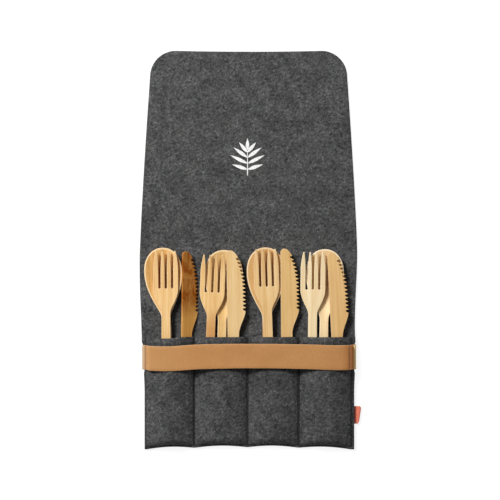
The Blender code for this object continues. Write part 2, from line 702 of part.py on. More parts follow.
def lay_cutlery(meshes):
    """One spoon, fork and knife in each pocket, and where they lie."""
    laid = []
    for pocket, places in enumerate(LAYOUT):
        left, right = pocket_sides(pocket)
        placed = {}
        for kind, (aside, up, lean, roll) in places.items():
            obj = bpy.data.objects.new(f"{kind}_{pocket + 1}", meshes[kind])
            bpy.context.scene.collection.objects.link(obj)
            x = (left + right) / 2 + aside * (right - left)
            obj.location = (x, foot_at(x) + FELT + up * HANDLE_WIDTH, 4 * FELT)
            obj.rotation_euler = (0.0, math.radians(roll), math.radians(lean))
            seat(obj, [placed[other] for other in BELOW[kind]])
            placed[kind] = Placed(obj)
        laid.append(list(placed.values()))
    return laid


def shared_mesh(name, bm, finish):
    """A mesh for several objects."""
    obj = put_object(name, bm, finish, sharp_angle=50)
    mesh = obj.data
    bpy.data.objects.remove(obj)
    return mesh


for old in list(bpy.data.objects):
    bpy.data.objects.remove(old)

FELT_FINISH = material("felt", (74, 71, 70), 0.95)
LEATHER_FINISH = material("leather", (180, 132, 85), 0.55)
TAB_FINISH = material("tab_fabric", (226, 112, 82), 0.8)
BAMBOO_FINISH = material("bamboo", (226, 184, 124), 0.5)

cutlery_meshes = {
    "spoon": shared_mesh("spoon", spoon_mesh(), BAMBOO_FINISH),
    "fork": shared_mesh("fork", fork_mesh(), BAMBOO_FINISH),
    "knife": shared_mesh("knife", knife_mesh(), BAMBOO_FINISH),
}
pocket_contents = lay_cutlery(cutlery_meshes)
pocket_heights = [crests(pocket, pieces) for pocket, pieces in enumerate(pocket_contents)]
felt_wrap = put_object("felt_wrap", felt_mesh(pocket_heights), FELT_FINISH, sharp_angle=50)
put_object("leather_band", band_mesh(felt_wrap), LEATHER_FINISH)
put_object("side_tab", tab_mesh(), TAB_FINISH)
cut_tab_slot(felt_wrap)
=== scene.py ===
"""Looks of the felt cutlery wrap: fine felt, leather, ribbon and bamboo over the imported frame.

Metres, the frame's own axes: +Z up, +Y towards the free end of the flap. Every CAD node is
replaced by a finer piece of the same shape and place. The camera looks straight down.
"""

from math import copysign, cos, exp, hypot, pi, radians, sin, sqrt

import bmesh
import bpy
import numpy as np
from mathutils import Matrix, Vector, noise
from mathutils.bvhtree import BVHTree


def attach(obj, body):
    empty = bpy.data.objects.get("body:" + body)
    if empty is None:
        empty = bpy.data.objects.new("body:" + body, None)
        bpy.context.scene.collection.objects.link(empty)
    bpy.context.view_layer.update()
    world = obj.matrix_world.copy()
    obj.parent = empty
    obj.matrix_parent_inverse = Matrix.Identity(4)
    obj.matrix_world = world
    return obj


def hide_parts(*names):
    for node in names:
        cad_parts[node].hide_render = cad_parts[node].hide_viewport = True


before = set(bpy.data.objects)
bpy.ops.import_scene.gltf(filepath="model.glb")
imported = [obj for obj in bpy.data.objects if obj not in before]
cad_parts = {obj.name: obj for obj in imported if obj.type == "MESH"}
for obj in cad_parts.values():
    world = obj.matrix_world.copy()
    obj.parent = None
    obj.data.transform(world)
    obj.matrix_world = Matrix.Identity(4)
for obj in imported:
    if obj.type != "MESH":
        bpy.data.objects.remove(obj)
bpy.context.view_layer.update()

MM = 0.001
CLEAR = 0.3 * MM

# The wrap, as in the frame
FELT = 2.6 * MM
WRAP_LENGTH = 398.2 * MM
WRAP_WIDTH = 217.3 * MM
FLAP_TAPER = 20.3 * MM
FLAP_CURVE = 1.25  # above 1 the flap narrows more towards its end
MOUTH_TAPER = 4.3 * MM
FOOT_TAPER = 8.1 * MM
TAPER_RUN = 55.0 * MM
CORNER_RADIUS = 26.0 * MM
POCKET_DEPTH = 111.5 * MM
HINGE_ABOVE_MOUTH = 82.0 * MM
DIVIDERS = (0.2348, 0.4951, 0.7456)
DIVIDER_WIDTH = 1.6 * MM
SEAM_ALLOWANCE = 2.8 * MM
EDGE_GROOVE = 0.5 * MM
SEAM_BULGE = 0.5
FOOT_RISE = 2.3 * MM
FOOT_SCALLOP = 1.6 * MM
LEATHER = 1.4 * MM
BAND_WIDTH = 25.0 * MM
BAND_BELOW_MOUTH = 7.0 * MM
BAND_EASE = 22.0 * MM
RIBBON = 0.9 * MM
RIBBON_SLIT = 0.25 * MM
TAB_WIDTH = 17.4 * MM
TAB_OUT = 6.8 * MM
TAB_IN = 2.0 * MM
TAB_FROM_FOOT = 34.5 * MM
TAB_TAPER = 1.4 * MM

# The cutlery, as in the frame
STOCK = 2.4 * MM
HANDLE_WIDTH = 11.6 * MM
NECK_WIDTH = 8.8 * MM
SPOON_LENGTH = 190.0 * MM
BOWL_WIDTH = 38.0 * MM
BOWL_NOSE = 25.0 * MM
BOWL_RUN = 48.0 * MM
BOWL_HEIGHT = 7.0 * MM
FORK_LENGTH = 186.0 * MM
HEAD_WIDTH = 24.8 * MM
HEAD_RUN = 28.0 * MM
TINE_LENGTH = 36.3 * MM
SLOT_WIDTH = 2.2 * MM
SLOT_PITCH = 6.3 * MM
OUTER_POINT = 18.0 * MM
OUTER_TIP = 9.3 * MM
FORK_BOW = 2.2 * MM
TINE_LIFT = 1.8 * MM
KNIFE_LENGTH = 188.2 * MM
BLADE_WIDTH = 18.5 * MM
KNIFE_HANDLE_WIDTH = 11.3 * MM
KNIFE_CORNER = 4.0 * MM
BLADE_CURVE = 46.0 * MM
BLADE_LENGTH = 60.0 * MM
HEEL_RUN = 26.0 * MM
TEETH = 14
TOOTH_DEPTH = 2.9 * MM
TEETH_FROM_TIP = 9.3 * MM
TEETH_BEHIND_HEEL = 3.1 * MM
TIP_CUT = 2.0 * MM
KNIFE_TIP = 3.0 * MM
KNIFE_BOW = 1.0 * MM

# Finer details that only the looks have
FELT_ROUND = 1.0 * MM  # rounding of the felt's cut edges
WAVE = 0.35 * MM  # unevenness of the felt
SKEW = 0.8 * MM  # how far the sewn part's edges sit to the right
SKEW_ABOVE = 10.0 * MM  # how far above the mouth it begins
SKEW_RUN = 30.0 * MM
LEAN = 0.7 * MM  # how far the edges above the pockets sit to the left
LEAN_AT = -52.0 * MM
LEAN_RUN = 70.0 * MM
EDGE_EASE = 2.5 * MM  # over which the band draws the edges in
EDGE_DRAW = 0.8 * MM  # how far it does
SEAM_PAST = 1.3 * MM  # plain felt along a sewn side, outside its seam
CREST_RUN = 26.0 * MM  # foot of a pocket to its full height in the frame
NOSE_RUN = 7.0 * MM  # rounding of a pocket towards the foot
ARCH_SOFT = 0.6  # how far the outside of a pocket goes from an ellipse to a wave
FULL_BULGE = 9.5 * MM  # height of a pocket whose seams bulge fully
DENT = 0.05  # share by which a pocket's height varies
SEWN_FLAT = 0.95  # thickness of sewn felt, as a share of two layers
LIP_RISE = 1.3 * MM  # how much higher the mouth sits from the second pocket on
LIP_FROM = -82.0 * MM  # x where that begins
LIP_RUN = 14.0 * MM
LIP_FADE = 8.0 * MM  # how far down from the mouth it fades out
MOUTH_SHADE = 0.6  # painted shade on the felt just above the band, in the crease along its top edge
MOUTH_SHADE_RUN = 3.4 * MM
END_DIP = 1.0 * MM  # how far the flap's end is drawn in at its middle
DIP_REACH = 0.36 * WRAP_WIDTH
BAND_BOW = 2.3 * MM  # how far the middle of the band rides up
BAND_BOW_AT = 4.0 * MM
BAND_CUP = 0.25 * MM  # how far its face is hollow across
BAND_SWAYS = ((-81 * MM, 1.5 * MM, 20 * MM), (80 * MM, 0.6 * MM, 14 * MM))  # dips: x, depth, run
TAB_SHADE = 2.7 * MM  # painted shadow of the felt's edge on the tab beside it
TAB_LONGER = 1.2 * MM  # how much further its upper corner sticks out
BAND_STRIP = 2.4 * MM  # low strip at the band's ends
BAND_WALL = 3.6 * MM  # over which the band falls to it
BAND_SAG = 2.2 * MM  # how far its shoulders lie below its crests
BROKEN_EDGE = 0.4 * MM  # rounding of the bamboo's edges
RIM_WIDTH = 1.3 * MM  # flat rim round a spoon's bowl
TINE_TIP = 1.2 * MM  # width of a tine's point
SLOT_FLARE = 22.0 * MM  # over which the slots of a fork widen towards its tips
TOOTH = ((0.0, 0.05), (0.1, 0.0), (0.28, 0.45), (0.5, 0.95), (0.8, 1.0), (0.94, 0.3))  # along, depth
STITCH = 3.1 * MM
STITCH_PITCH = 4.2 * MM
STITCH_OUT = 0.7 * MM  # how far the side rows lie outside their seams
FIRST_STITCH = 1.6 * MM  # from the mouth
THREAD = 0.42 * MM  # its radius
PRINT_RAISE = 0.14 * MM
PRINT_AT = (-2.5 * MM, 93.0 * MM)
PRINT_SIZE = 37.0 * MM
STEM = ((-0.014, -0.5), (0.014, -0.5), (0.008, 0.16), (-0.008, 0.16))  # in print sizes
LEAF_PAIRS = ((-0.34, 0.44, 72), (-0.18, 0.52, 64), (-0.02, 0.47, 54), (0.12, 0.36, 40))  # at, length, angle
TOP_LEAF = (0.18, 0.32)
LEAF_WIDTH = 0.105

# Steps of the meshes
ARCH_STEPS = 26
CORNER_STEPS = 14
FOLD_STEPS = 9
FLAP_STEP = 2.6 * MM
POCKET_STEP = 1.7 * MM
BAND_STEP = 0.6 * MM
UNDER_STEP = 2.5 * MM
CREST_WINDOW = 11  # millimetres over which the pockets' heights are smoothed

FLAP_END = WRAP_LENGTH / 2
FOOT = -WRAP_LENGTH / 2
MOUTH = FOOT + POCKET_DEPTH
HINGE = MOUTH + HINGE_ABOVE_MOUTH
BAND_TOP = MOUTH - BAND_BELOW_MOUTH
BAND_FOOT = BAND_TOP - BAND_WIDTH
BAND_LIFT = LEATHER + CLEAR
TAB_Y = FOOT + TAB_FROM_FOOT
FOOT_HALF = (WRAP_WIDTH - FOOT_TAPER) / 2
SIDE_SEAM = FOOT_HALF - SEAM_ALLOWANCE
DEPTH = POCKET_DEPTH - FELT


def smooth(t):
    """A soft step from 0 to 1."""
    t = min(1.0, max(0.0, t))
    return t * t * (3 - 2 * t)


def near_band(y, run):
    """1 under the band, falling smoothly to 0 over this run on both sides of it."""
    beside = max(y - BAND_TOP - CLEAR, BAND_FOOT - CLEAR - y, 0.0)
    return smooth(1 - beside / run)


def lift_at(y):
    """How far the felt's underside is lifted by the band under it."""
    return BAND_LIFT * near_band(y, BAND_EASE)


def half_width(y):
    """Half the width of the felt."""
    if y > HINGE:
        along = min(1.0, (y - HINGE) / (FLAP_END - CORNER_RADIUS - HINGE))
        taper = FLAP_TAPER * along**FLAP_CURVE
    elif y > MOUTH:
        taper = MOUTH_TAPER * smooth((HINGE - y) / (HINGE - MOUTH))
    else:
        taper = MOUTH_TAPER + (FOOT_TAPER - MOUTH_TAPER) * smooth((MOUTH - y) / TAPER_RUN)
    return (WRAP_WIDTH - taper) / 2 - EDGE_DRAW * near_band(y, EDGE_EASE)


def skew(y):
    """How far the edges sit to the right at this height."""
    lean = LEAN * smooth(1 - abs(y - LEAN_AT) / LEAN_RUN)
    return SKEW * smooth((MOUTH + SKEW_ABOVE - y) / SKEW_RUN) - lean


TAB_TIP = half_width(TAB_Y) + TAB_OUT
MIDDLE = (WRAP_WIDTH / 2 - TAB_TIP) / 2
SEAM_LINES = [MIDDLE + SIDE_SEAM * (2 * share - 1) for share in (0.0, *DIVIDERS, 1.0)]


def pocket_sides(pocket):
    """The x of a hollow's left and right side."""
    left = SEAM_LINES[pocket] + (DIVIDER_WIDTH / 2 if pocket > 0 else 0.0)
    right = SEAM_LINES[pocket + 1] - (DIVIDER_WIDTH / 2 if pocket < len(DIVIDERS) else 0.0)
    return left, right


POCKETS = [pocket_sides(pocket) for pocket in range(len(DIVIDERS) + 1)]


def arch(share):
    """Height of a half ellipse, this share of the way across it."""
    return sqrt(max(0.0, 4 * share * (1 - share)))


def foot_at(x):
    """The y of the fold at the foot."""
    across = (x - MIDDLE) / FOOT_HALF
    y = FOOT + FOOT_RISE * (1 - min(1.0, across * across))
    for left, right in POCKETS:
        if left < x < right:
            y += FOOT_SCALLOP * sin(pi * (x - left) / (right - left))
    return y


def floor_at(y):
    """Height of a pocket's floor."""
    return FELT + lift_at(y)


def drop(distance, radius):
    """How far a rounded edge lies below the surface, this far in from it."""
    if distance >= radius:
        return 0.0
    return radius - sqrt(max(0.0, radius**2 - (radius - max(distance, 0.0)) ** 2))


def wave(x, y, scale, seed):
    """Smooth unevenness between -1 and 1."""
    return noise.noise(Vector((x * scale, y * scale, seed)))


def smoothed(values, window, passes):
    """The running mean of the values, taken so many times."""
    for _ in range(passes):
        padded = np.pad(values, window // 2, mode="edge")
        values = np.convolve(padded, np.ones(window) / window, mode="valid")
    return values


# Looks


def screen(red, green, blue):
    """A linear colour from 0 to 255 screen values."""
    shares = [value / 255 for value in (red, green, blue)]
    return (*[s / 12.92 if s <= 0.04045 else ((s + 0.055) / 1.055) ** 2.4 for s in shares], 1.0)


class Look:
    """A material and short ways to add nodes to it."""

    def __init__(self, name, roughness, gloss=0.5):
        self.material = bpy.data.materials.new(name)
        self.material.use_nodes = True
        self.tree = self.material.node_tree
        self.shader = self.tree.nodes["Principled BSDF"]
        self.shader.inputs["Roughness"].default_value = roughness
        self.shader.inputs["Specular IOR Level"].default_value = gloss
        self.coords = self.node("TexCoord")["Object"]

    def plug(self, value, socket):
        if isinstance(value, (int, float, tuple)):
            socket.default_value = value
        else:
            self.tree.links.new(value, socket)

    def node(self, kind, inputs=None, **settings):
        """The outputs of a new node."""
        node = self.tree.nodes.new("ShaderNode" + kind)
        for name, value in settings.items():
            setattr(node, name, value)
        for socket, value in (inputs or {}).items():
            self.plug(value, node.inputs[socket])
        return node.outputs

    def place(self, scale, turn=0.0, shift=0.0):
        """The object's own coordinates, turned and then scaled to so many waves a metre."""
        inputs = {"Vector": self.coords, "Rotation": (0.0, 0.0, radians(turn))}
        inputs["Scale"] = tuple(1 / waves for waves in scale)
        inputs["Location"] = (shift, shift * 1.7, shift * 0.6)
        return self.node("Mapping", inputs, vector_type="TEXTURE")["Vector"]

    def noise(self, scale, turn=0.0, detail=2.0, rough=0.5, shift=0.0, warp=0.0):
        inputs = {"Scale": 1.0, "Detail": detail, "Roughness": rough, "Distortion": warp}
        inputs["Vector"] = self.place(scale, turn, shift)
        return self.node("TexNoise", inputs)["Fac"]

    def cells(self, scale):
        inputs = {"Vector": self.place(scale), "Scale": 1.0}
        return self.node("TexVoronoi", inputs, feature="DISTANCE_TO_EDGE")["Distance"]

    def fibres(self, layers):
        """The highest of some noises, each (waves a metre, turn, shift)."""
        top = 0.0
        for scale, turn, shift in layers:
            top = self.math("MAXIMUM", top, self.noise(scale, turn, 3, shift=shift))
        return top

    def math(self, operation, a, b=0.0, clamp=False):
        return self.node("Math", {0: a, 1: b}, operation=operation, use_clamp=clamp)["Value"]

    def times(self, a, b):
        return self.math("MULTIPLY", a, b)

    def plus(self, a, b):
        return self.math("ADD", a, b)

    def ramp(self, value, *stops):
        node = self.tree.nodes.new("ShaderNodeValToRGB")
        elements = node.color_ramp.elements
        while len(elements) < len(stops):
            elements.new(0.5)
        for element, (place, colour) in zip(elements, stops):
            element.position = place
            element.color = colour if isinstance(colour, tuple) else (colour, colour, colour, 1.0)
        self.plug(value, node.inputs["Fac"])
        return node.outputs["Color"]

    def mix(self, share, a, b, blend="MIX"):
        inputs = {"Factor": share, 6: a, 7: b}
        return self.node("Mix", inputs, data_type="RGBA", blend_type=blend)[2]

    def attribute(self, name):
        return self.node("Attribute", attribute_name=name)["Fac"]

    def axis(self, name):
        return self.node("SeparateXYZ", {0: self.coords})[name]

    def bump(self, *layers):
        """Layers of (height, depth in metres), the first one undermost."""
        normal = {}
        for height, depth in layers:
            inputs = {"Strength": 1.0, "Distance": depth, "Height": height}
            normal = {"Normal": self.node("Bump", {**inputs, **normal})["Normal"]}
        self.plug(normal["Normal"], self.shader.inputs["Normal"])

    def colour(self, value):
        self.plug(value, self.shader.inputs["Base Color"])

    def rough(self, value, least, most):
        self.plug(self.plus(self.times(value, most - least), least), self.shader.inputs["Roughness"])


# Layers of fibres: waves a metre, turn in degrees, shift
FELT_FIBRES = (
    ((640, 310, 300), 18, 0.0),
    ((640, 300, 300), -52, 3.1),
    ((600, 290, 300), 84, 7.7),
    ((620, 320, 300), 152, 4.3),
)
PRINT_FIBRES = (((900, 260, 300), 20, 3.1), ((260, 900, 300), -35, 6.1))


def felt_look():
    look = Look("felt", 0.95, gloss=0.15)
    fibres = look.fibres(FELT_FIBRES)
    deep, mid = (0.46, screen(53, 53, 53)), (0.57, screen(72, 72, 72))
    tone = look.ramp(fibres, deep, mid, (0.67, screen(88, 88, 88)), (0.8, screen(130, 130, 129)))
    dark = look.noise((420, 230, 300), 110, 2, shift=5.5)
    tone = look.mix(look.ramp(dark, (0.54, 0.0), (0.68, 0.6)), tone, screen(34, 34, 36))
    patch = look.noise((90, 60, 60), 30, 4, shift=1.0)
    tone = look.mix(0.5, tone, look.ramp(patch, (0.3, 0.24), (0.7, 0.76)), "OVERLAY")
    hue = look.noise((160, 120, 100), 45, 2, shift=9.0)
    tint = look.ramp(hue, (0.35, (0.46, 0.49, 0.53, 1.0)), (0.65, (0.53, 0.5, 0.47, 1.0)))
    tone = look.mix(0.2, tone, tint, "OVERLAY")
    # darker along the sewn lines, with painted shade on the felt just above the band
    sewn = look.times(look.attribute("seam_and_shade"), 0.75)
    look.colour(look.mix(sewn, tone, screen(30, 30, 32)))
    soft = look.noise((130, 150, 100), 0, 3, shift=2.0)
    look.bump((soft, 0.9 * MM), (fibres, 0.35 * MM))
    return look.material


# Painted light and shade on the leather at the band's ends, where it bends over the pockets' sides: painted
# highlights on the pale outer strips, painted shade in the left crease and where the right end falls away;
# colour, then (x in millimetres, share of it)
BAND_PAINTED_LIGHT_AND_SHADE = (
    ((190, 140, 86), ((-103.4, 0.55), (-88, 0.5), (-60, 0.0))),
    ((196, 170, 140), ((-106.8, 0.1), (-106.0, 0.85), (-105.0, 0.85), (-104.6, 0.0))),
    ((108, 70, 38), ((-104.8, 0.0), (-104.4, 0.8), (-103.9, 0.8), (-103.5, 0.0))),
    ((148, 84, 14), ((90, 0.0), (96, 0.4), (98.5, 0.7), (99.6, 0.0))),
    ((220, 122, 8), ((98.5, 0.0), (99.6, 0.9), (102.2, 0.9), (102.8, 0.0))),
    ((252, 218, 156), ((102.6, 0.0), (103.2, 0.95), (105.6, 0.95), (106.5, 0.1))),
)


def leather_look():
    look = Look("band_leather", 0.5, gloss=0.35)
    mottle = look.noise((38, 50, 40), 12, 4, 0.6)
    low, high = (0.3, screen(189, 133, 75)), (0.72, screen(200, 145, 87))
    tone = look.ramp(mottle, low, (0.52, screen(195, 139, 81)), high)
    pores = look.cells((900, 1000, 900))
    tone = look.mix(look.ramp(pores, (0.02, 0.45), (0.12, 0.0)), tone, screen(158, 104, 58))
    across = look.math("DIVIDE", look.plus(look.axis("X"), WRAP_WIDTH / 2), WRAP_WIDTH)
    # painted light and shade at the band's ends, by x along the leather
    for shade, marks in BAND_PAINTED_LIGHT_AND_SHADE:
        stops = [((x * MM + WRAP_WIDTH / 2) / WRAP_WIDTH, share) for x, share in marks]
        tone = look.mix(look.ramp(across, *stops), tone, screen(*shade))
    # painted highlight along the band's cut edges, marked by the edge attribute
    edge_highlight = look.attribute("edge")
    tone = look.mix(look.times(edge_highlight, 0.6), tone, screen(222, 184, 138))
    look.colour(tone)
    look.rough(mottle, 0.42, 0.62)
    creases = look.noise((300, 60, 100), 0, 3, warp=0.4, shift=4.0)
    look.bump((creases, 0.25 * MM), (look.ramp(pores, (0.0, 0.0), (0.2, 1.0)), 0.12 * MM))
    return look.material


# Threads of the ribbon, in radians a metre
WEFT = 6200
WARP = 5200


def ribbon_look():
    look = Look("tab_ribbon", 0.8, gloss=0.2)
    along = look.math("SINE", look.times(look.axis("Y"), WEFT))
    across = look.math("SINE", look.times(look.axis("X"), WARP))
    weave = look.times(along, across)
    weave = look.plus(look.times(weave, 0.5), 0.5)
    tone = look.mix(weave, screen(236, 120, 94), screen(253, 152, 124))
    wear = look.noise((220, 180, 200), 0, 3)
    tone = look.mix(look.ramp(wear, (0.4, 0.0), (0.75, 0.5)), tone, screen(226, 112, 86))
    # painted shadow of the felt's edge on the tab, solid near the edge and fading out
    past = look.math("SUBTRACT", look.axis("X"), MIDDLE + half_width(TAB_Y) + SKEW)
    shaded = look.ramp(look.math("DIVIDE", past, TAB_SHADE), (0.55, 0.9), (0.95, 0.0))
    look.colour(look.mix(shaded, tone, screen(112, 42, 32)))
    look.bump((wear, 0.2 * MM), (weave, 0.16 * MM))
    return look.material


def thread_look():
    look = Look("seam_thread", 0.75)
    twist = look.noise((900, 500, 900), 40, 2)
    look.colour(look.ramp(twist, (0.35, screen(26, 26, 27)), (0.7, screen(48, 47, 48))))
    look.bump((twist, 0.15 * MM))
    return look.material


def print_look():
    look = Look("flap_print", 0.7)
    fibres = look.fibres(PRINT_FIBRES)
    white, gap = (0.45, screen(240, 240, 239)), (0.76, screen(168, 167, 166))
    look.colour(look.ramp(fibres, white, (0.6, screen(228, 228, 227)), gap))
    look.bump((fibres, 0.25 * MM))
    return look.material


# How far each channel of bamboo goes down and up from its mean, and what is left of it deep in a spoon's
# bowl, a darker tone there that is partly painted shade under the fork
GRAIN_DARK = (0.1, 0.17, 0.3)
GRAIN_LIGHT = (0.06, 0.1, 0.18)
BOWL_SHADE = (0.6, 0.43, 0.15)
FINE_GRAIN = 0.72  # tone of the finest streaks
PALE_EDGE = 0.6  # how far the painted highlight on the edges still is from white
EDGE_SHARE = 0.7  # how strongly that painted highlight shows
STAINED_EDGE_SHARE = 0.1


def bamboo_look(name, mean, spread, shift, darker_stretch=None, cross=None):
    """Bamboo with its grain along Y.

    darker_stretch is (colour, from, to) along the piece, cross the place of a dark line across it.
    """
    look = Look(name, 0.5, gloss=0.3)
    streaks = look.noise((620, 9, 200), 0, 4, 0.6, shift)
    bands = look.noise((170, 3.2, 90), 0, 2, 0.5, shift + 4)
    patches = look.noise((60, 22, 40), 0, 3, 0.55, shift + 8, 0.6)
    value = look.plus(look.times(streaks, 0.42), look.times(bands, 0.35))
    value = look.plus(value, look.times(patches, 0.23))
    dark = [channel * (1 - spread * k) for channel, k in zip(mean, GRAIN_DARK)]
    light = [min(255, channel * (1 + spread * k)) for channel, k in zip(mean, GRAIN_LIGHT)]
    tone = look.ramp(value, (0.38, screen(*dark)), (0.5, screen(*mean)), (0.62, screen(*light)))
    fine = look.noise((2200, 30, 800), 0, 2, 0.5, shift + 2)
    vein = [channel * FINE_GRAIN for channel in mean]
    tone = look.mix(look.ramp(fine, (0.58, 0.0), (0.76, 0.35)), tone, screen(*vein))
    # painted highlight on the rounded edges and the spoons' rims
    pale = [255 - (255 - channel) * PALE_EDGE for channel in mean]
    edge_highlight = look.times(look.attribute("edge"), STAINED_EDGE_SHARE if cross else EDGE_SHARE)
    tone = look.mix(edge_highlight, tone, screen(*pale))
    y = look.axis("Y")
    if darker_stretch:
        colour, start, end = darker_stretch
        along = look.math("DIVIDE", look.math("SUBTRACT", y, start), end - start, clamp=True)
        blots = look.noise((150, 60, 90), 0, 3, 0.6, shift + 5, 0.8)
        blot = look.times(along, look.ramp(blots, (0.4, 1.0), (0.68, 0.4)))
        tone = look.mix(blot, tone, colour)
    if cross:
        near = look.math("ABSOLUTE", look.math("SUBTRACT", y, cross))
        line = look.math("SUBTRACT", 1.0, look.math("DIVIDE", near, 0.8 * MM, clamp=True))
        tone = look.mix(look.times(line, 0.4), tone, screen(112, 62, 22))
    # darker deep in a spoon's bowl: partly a darker tone, partly painted shade under the fork
    bowl = look.ramp(look.attribute("deep"), (0.48, 0.0), (0.74, 0.35 * spread), (0.94, 0.85 * spread))
    shade = [channel * k for channel, k in zip(mean, BOWL_SHADE)]
    tone = look.mix(bowl, tone, screen(*shade))
    look.colour(tone)
    look.rough(streaks, 0.42, 0.66)
    look.bump((patches, 0.12 * MM), (streaks, 0.16 * MM), (fine, 0.05 * MM))
    return look.material


# Pieces


def add(name, data):
    obj = bpy.data.objects.new(name, data)
    bpy.context.scene.collection.objects.link(obj)
    return obj


def piece(name, bm, material, replaces=None, sharp=60):
    """A named object of the scene from a bmesh."""
    bmesh.ops.recalc_face_normals(bm, faces=bm.faces)
    mesh = bpy.data.meshes.new(name)
    bm.to_mesh(mesh)
    bm.free()
    mesh.shade_smooth()
    mesh.set_sharp_from_angle(angle=radians(sharp))
    mesh.materials.append(material)
    obj = add(name, mesh)
    if replaces:
        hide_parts(replaces)
    return obj


def tree_of(mesh):
    return BVHTree.FromPolygons([v.co for v in mesh.vertices], [tuple(p.vertices) for p in mesh.polygons])


def top_of(tree, x, y):
    """Height of the topmost surface at this place."""
    hit = tree.ray_cast(Vector((x, y, 1)), Vector((0, 0, -1)))[0]
    return hit.z if hit else 0.0


def skin(bm, rings, capped=True):
    """Faces between closed rings with as many points each, and over both ends."""
    for a, b in zip(rings, rings[1:]):
        for k in range(len(a)):
            after = (k + 1) % len(a)
            bm.faces.new((a[k], a[after], b[after], b[k]))
    if capped:
        bm.faces.new(reversed(rings[0]))
        bm.faces.new(rings[-1])


FELT_TREE = tree_of(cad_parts["felt_wrap"].data)


def row_y(x, down):
    """The y this far down from the mouth, with the rows spread to the foot's curve."""
    return MOUTH - down * (MOUTH - foot_at(x) - FELT) / DEPTH


def crest_table():
    """Smoothed heights of each pocket's hollow, every millimetre down from the mouth."""
    table = []
    for left, right in POCKETS:
        x = (left + right) / 2
        heights = []
        for down in range(int((DEPTH - CREST_RUN) / MM)):
            y = row_y(x, max(down, 0.2) * MM)
            heights.append(max(0.0, top_of(FELT_TREE, x, y) - floor_at(y) - FELT))
        table.append(smoothed(heights, CREST_WINDOW, 3))
    return table


CRESTS = crest_table()


def crest(pocket, down):
    """Height of a pocket's hollow this far down from its mouth."""
    heights = CRESTS[pocket]
    place = min(down / MM, len(heights) - 1.001)
    low = int(place)
    height = heights[low] + (heights[low + 1] - heights[low]) * (place - low)
    past = (DEPTH - down) / NOSE_RUN
    return height * (sqrt(max(0.0, 1 - (1 - past) ** 2)) if past < 1 else 1.0)


SHARES = [(1 - cos(pi * k / ARCH_STEPS)) / 2 for k in range(ARCH_STEPS + 1)]
RIM_STEPS = (0.0, 0.12 * MM, 0.4 * MM, 1.0 * MM)
EDGE_STEPS = (*RIM_STEPS[:3], SEAM_PAST)


def felt_columns():
    """(kind, value): a distance in from the left or right edge, or a pocket and a share across it."""
    columns = [("left", inset) for inset in EDGE_STEPS]
    for pocket in range(len(POCKETS)):
        columns += [(pocket, share) for share in SHARES]
    return columns + [("right", inset) for inset in reversed(EDGE_STEPS)]


COLUMNS = felt_columns()
LAST = len(COLUMNS) - 1


def dents(pocket, share, down):
    """How high a pocket stands here, as a share of its even height."""
    left, right = POCKETS[pocket]
    return 1 + DENT * wave(left + (right - left) * share, down, 55, 4.0 + pocket)


def felt_outside(pocket, share, y, down):
    """The z of the outside of a pocket, with slight dents."""
    height = crest(pocket, down)
    across = arch(share) + ARCH_SOFT * (sin(pi * share) - arch(share))
    bulge = SEAM_BULGE * (1 - arch(share)) * min(1.0, height / FULL_BULGE)
    return floor_at(y) + height * across * dents(pocket, share, down) + FELT * (1 + bulge)


def flap_rows():
    """(y, how far the outline is drawn in) from the flap's end down to the pockets."""
    rows = []
    for d in RIM_STEPS:
        across = sqrt(CORNER_RADIUS**2 - (CORNER_RADIUS - d) ** 2)
        rows.append((FLAP_END - d, CORNER_RADIUS - across))
    for k in reversed(range(CORNER_STEPS + 1)):
        a = pi / 2 * k / CORNER_STEPS
        y = FLAP_END - CORNER_RADIUS * (1 - sin(a))
        if y < FLAP_END - 1.5 * MM:
            rows.append((y, CORNER_RADIUS * (1 - cos(a))))
    y = FLAP_END - CORNER_RADIUS
    while y - FLAP_STEP > MOUTH + 2 * MM:
        y -= FLAP_STEP
        rows.append((y, 0.0))
    return rows + [(MOUTH + 0.8 * MM, 0.0)]


def pocket_rows():
    """Distances down from the mouth."""
    downs = list(RIM_STEPS)
    while downs[-1] < DEPTH - NOSE_RUN:
        downs.append(downs[-1] + POCKET_STEP)
    return downs + [DEPTH - NOSE_RUN * s for s in (0.86, 0.72, 0.6, 0.48, 0.37, 0.27, 0.18, 0.1, 0.04, 0.0)]


def column_x(column, y, inset=0.0):
    """Where a column of points lies at this height."""
    kind, value = column
    half = half_width(y) - inset
    if kind == "left":
        return MIDDLE - half + value + skew(y)
    if kind == "right":
        return MIDDLE + half - value + skew(y)
    left, right = POCKETS[kind]
    x = left + (right - left) * value - MIDDLE
    fill = (half - SEAM_ALLOWANCE + 0.5 * MM) / SIDE_SEAM
    return MIDDLE + x * (1 + (fill - 1) * smooth((y - MOUTH) / (20 * MM)))


def lip(x, down):
    """How far the outer layer's mouth sits above the frame's here."""
    return LIP_RISE * smooth((x - LIP_FROM) / LIP_RUN) * smooth(1 - down / LIP_FADE)


def to_outline(x, y):
    """Distance to the outline of the flap."""
    corner_y = FLAP_END - CORNER_RADIUS
    corner_x = half_width(corner_y) - CORNER_RADIUS
    across = abs(x - MIDDLE)
    if y > corner_y and across > corner_x:
        return CORNER_RADIUS - hypot(across - corner_x, y - corner_y)
    return min(half_width(y) - across, FLAP_END - y)


def sheet_point(x, y, upper):
    """A point on the upper or the under side of the single sheet."""
    edge = drop(to_outline(x, y), FELT_ROUND)
    dip = END_DIP * max(0.0, 1 - (x / DIP_REACH) ** 2)
    y -= dip * smooth((y - FLAP_END + 2 * CORNER_RADIUS) / (2 * CORNER_RADIUS))
    if not upper:
        return x, y, lift_at(y) + edge
    uneven = smooth((y - MOUTH) / (30 * MM)) * WAVE * (wave(x, y, 22, 1.0) + 0.5 * wave(x, y, 60, 2.0))
    return x, y, lift_at(y) + FELT - edge + uneven


def add_flap_row(bm, y, inset):
    """Points of the single sheet: its under and its upper side."""
    low, top = [], []
    for column in COLUMNS:
        x = column_x(column, y, inset)
        low.append(bm.verts.new(sheet_point(x, y, False)))
        top.append(bm.verts.new(sheet_point(x, y, True)))
    return low, top


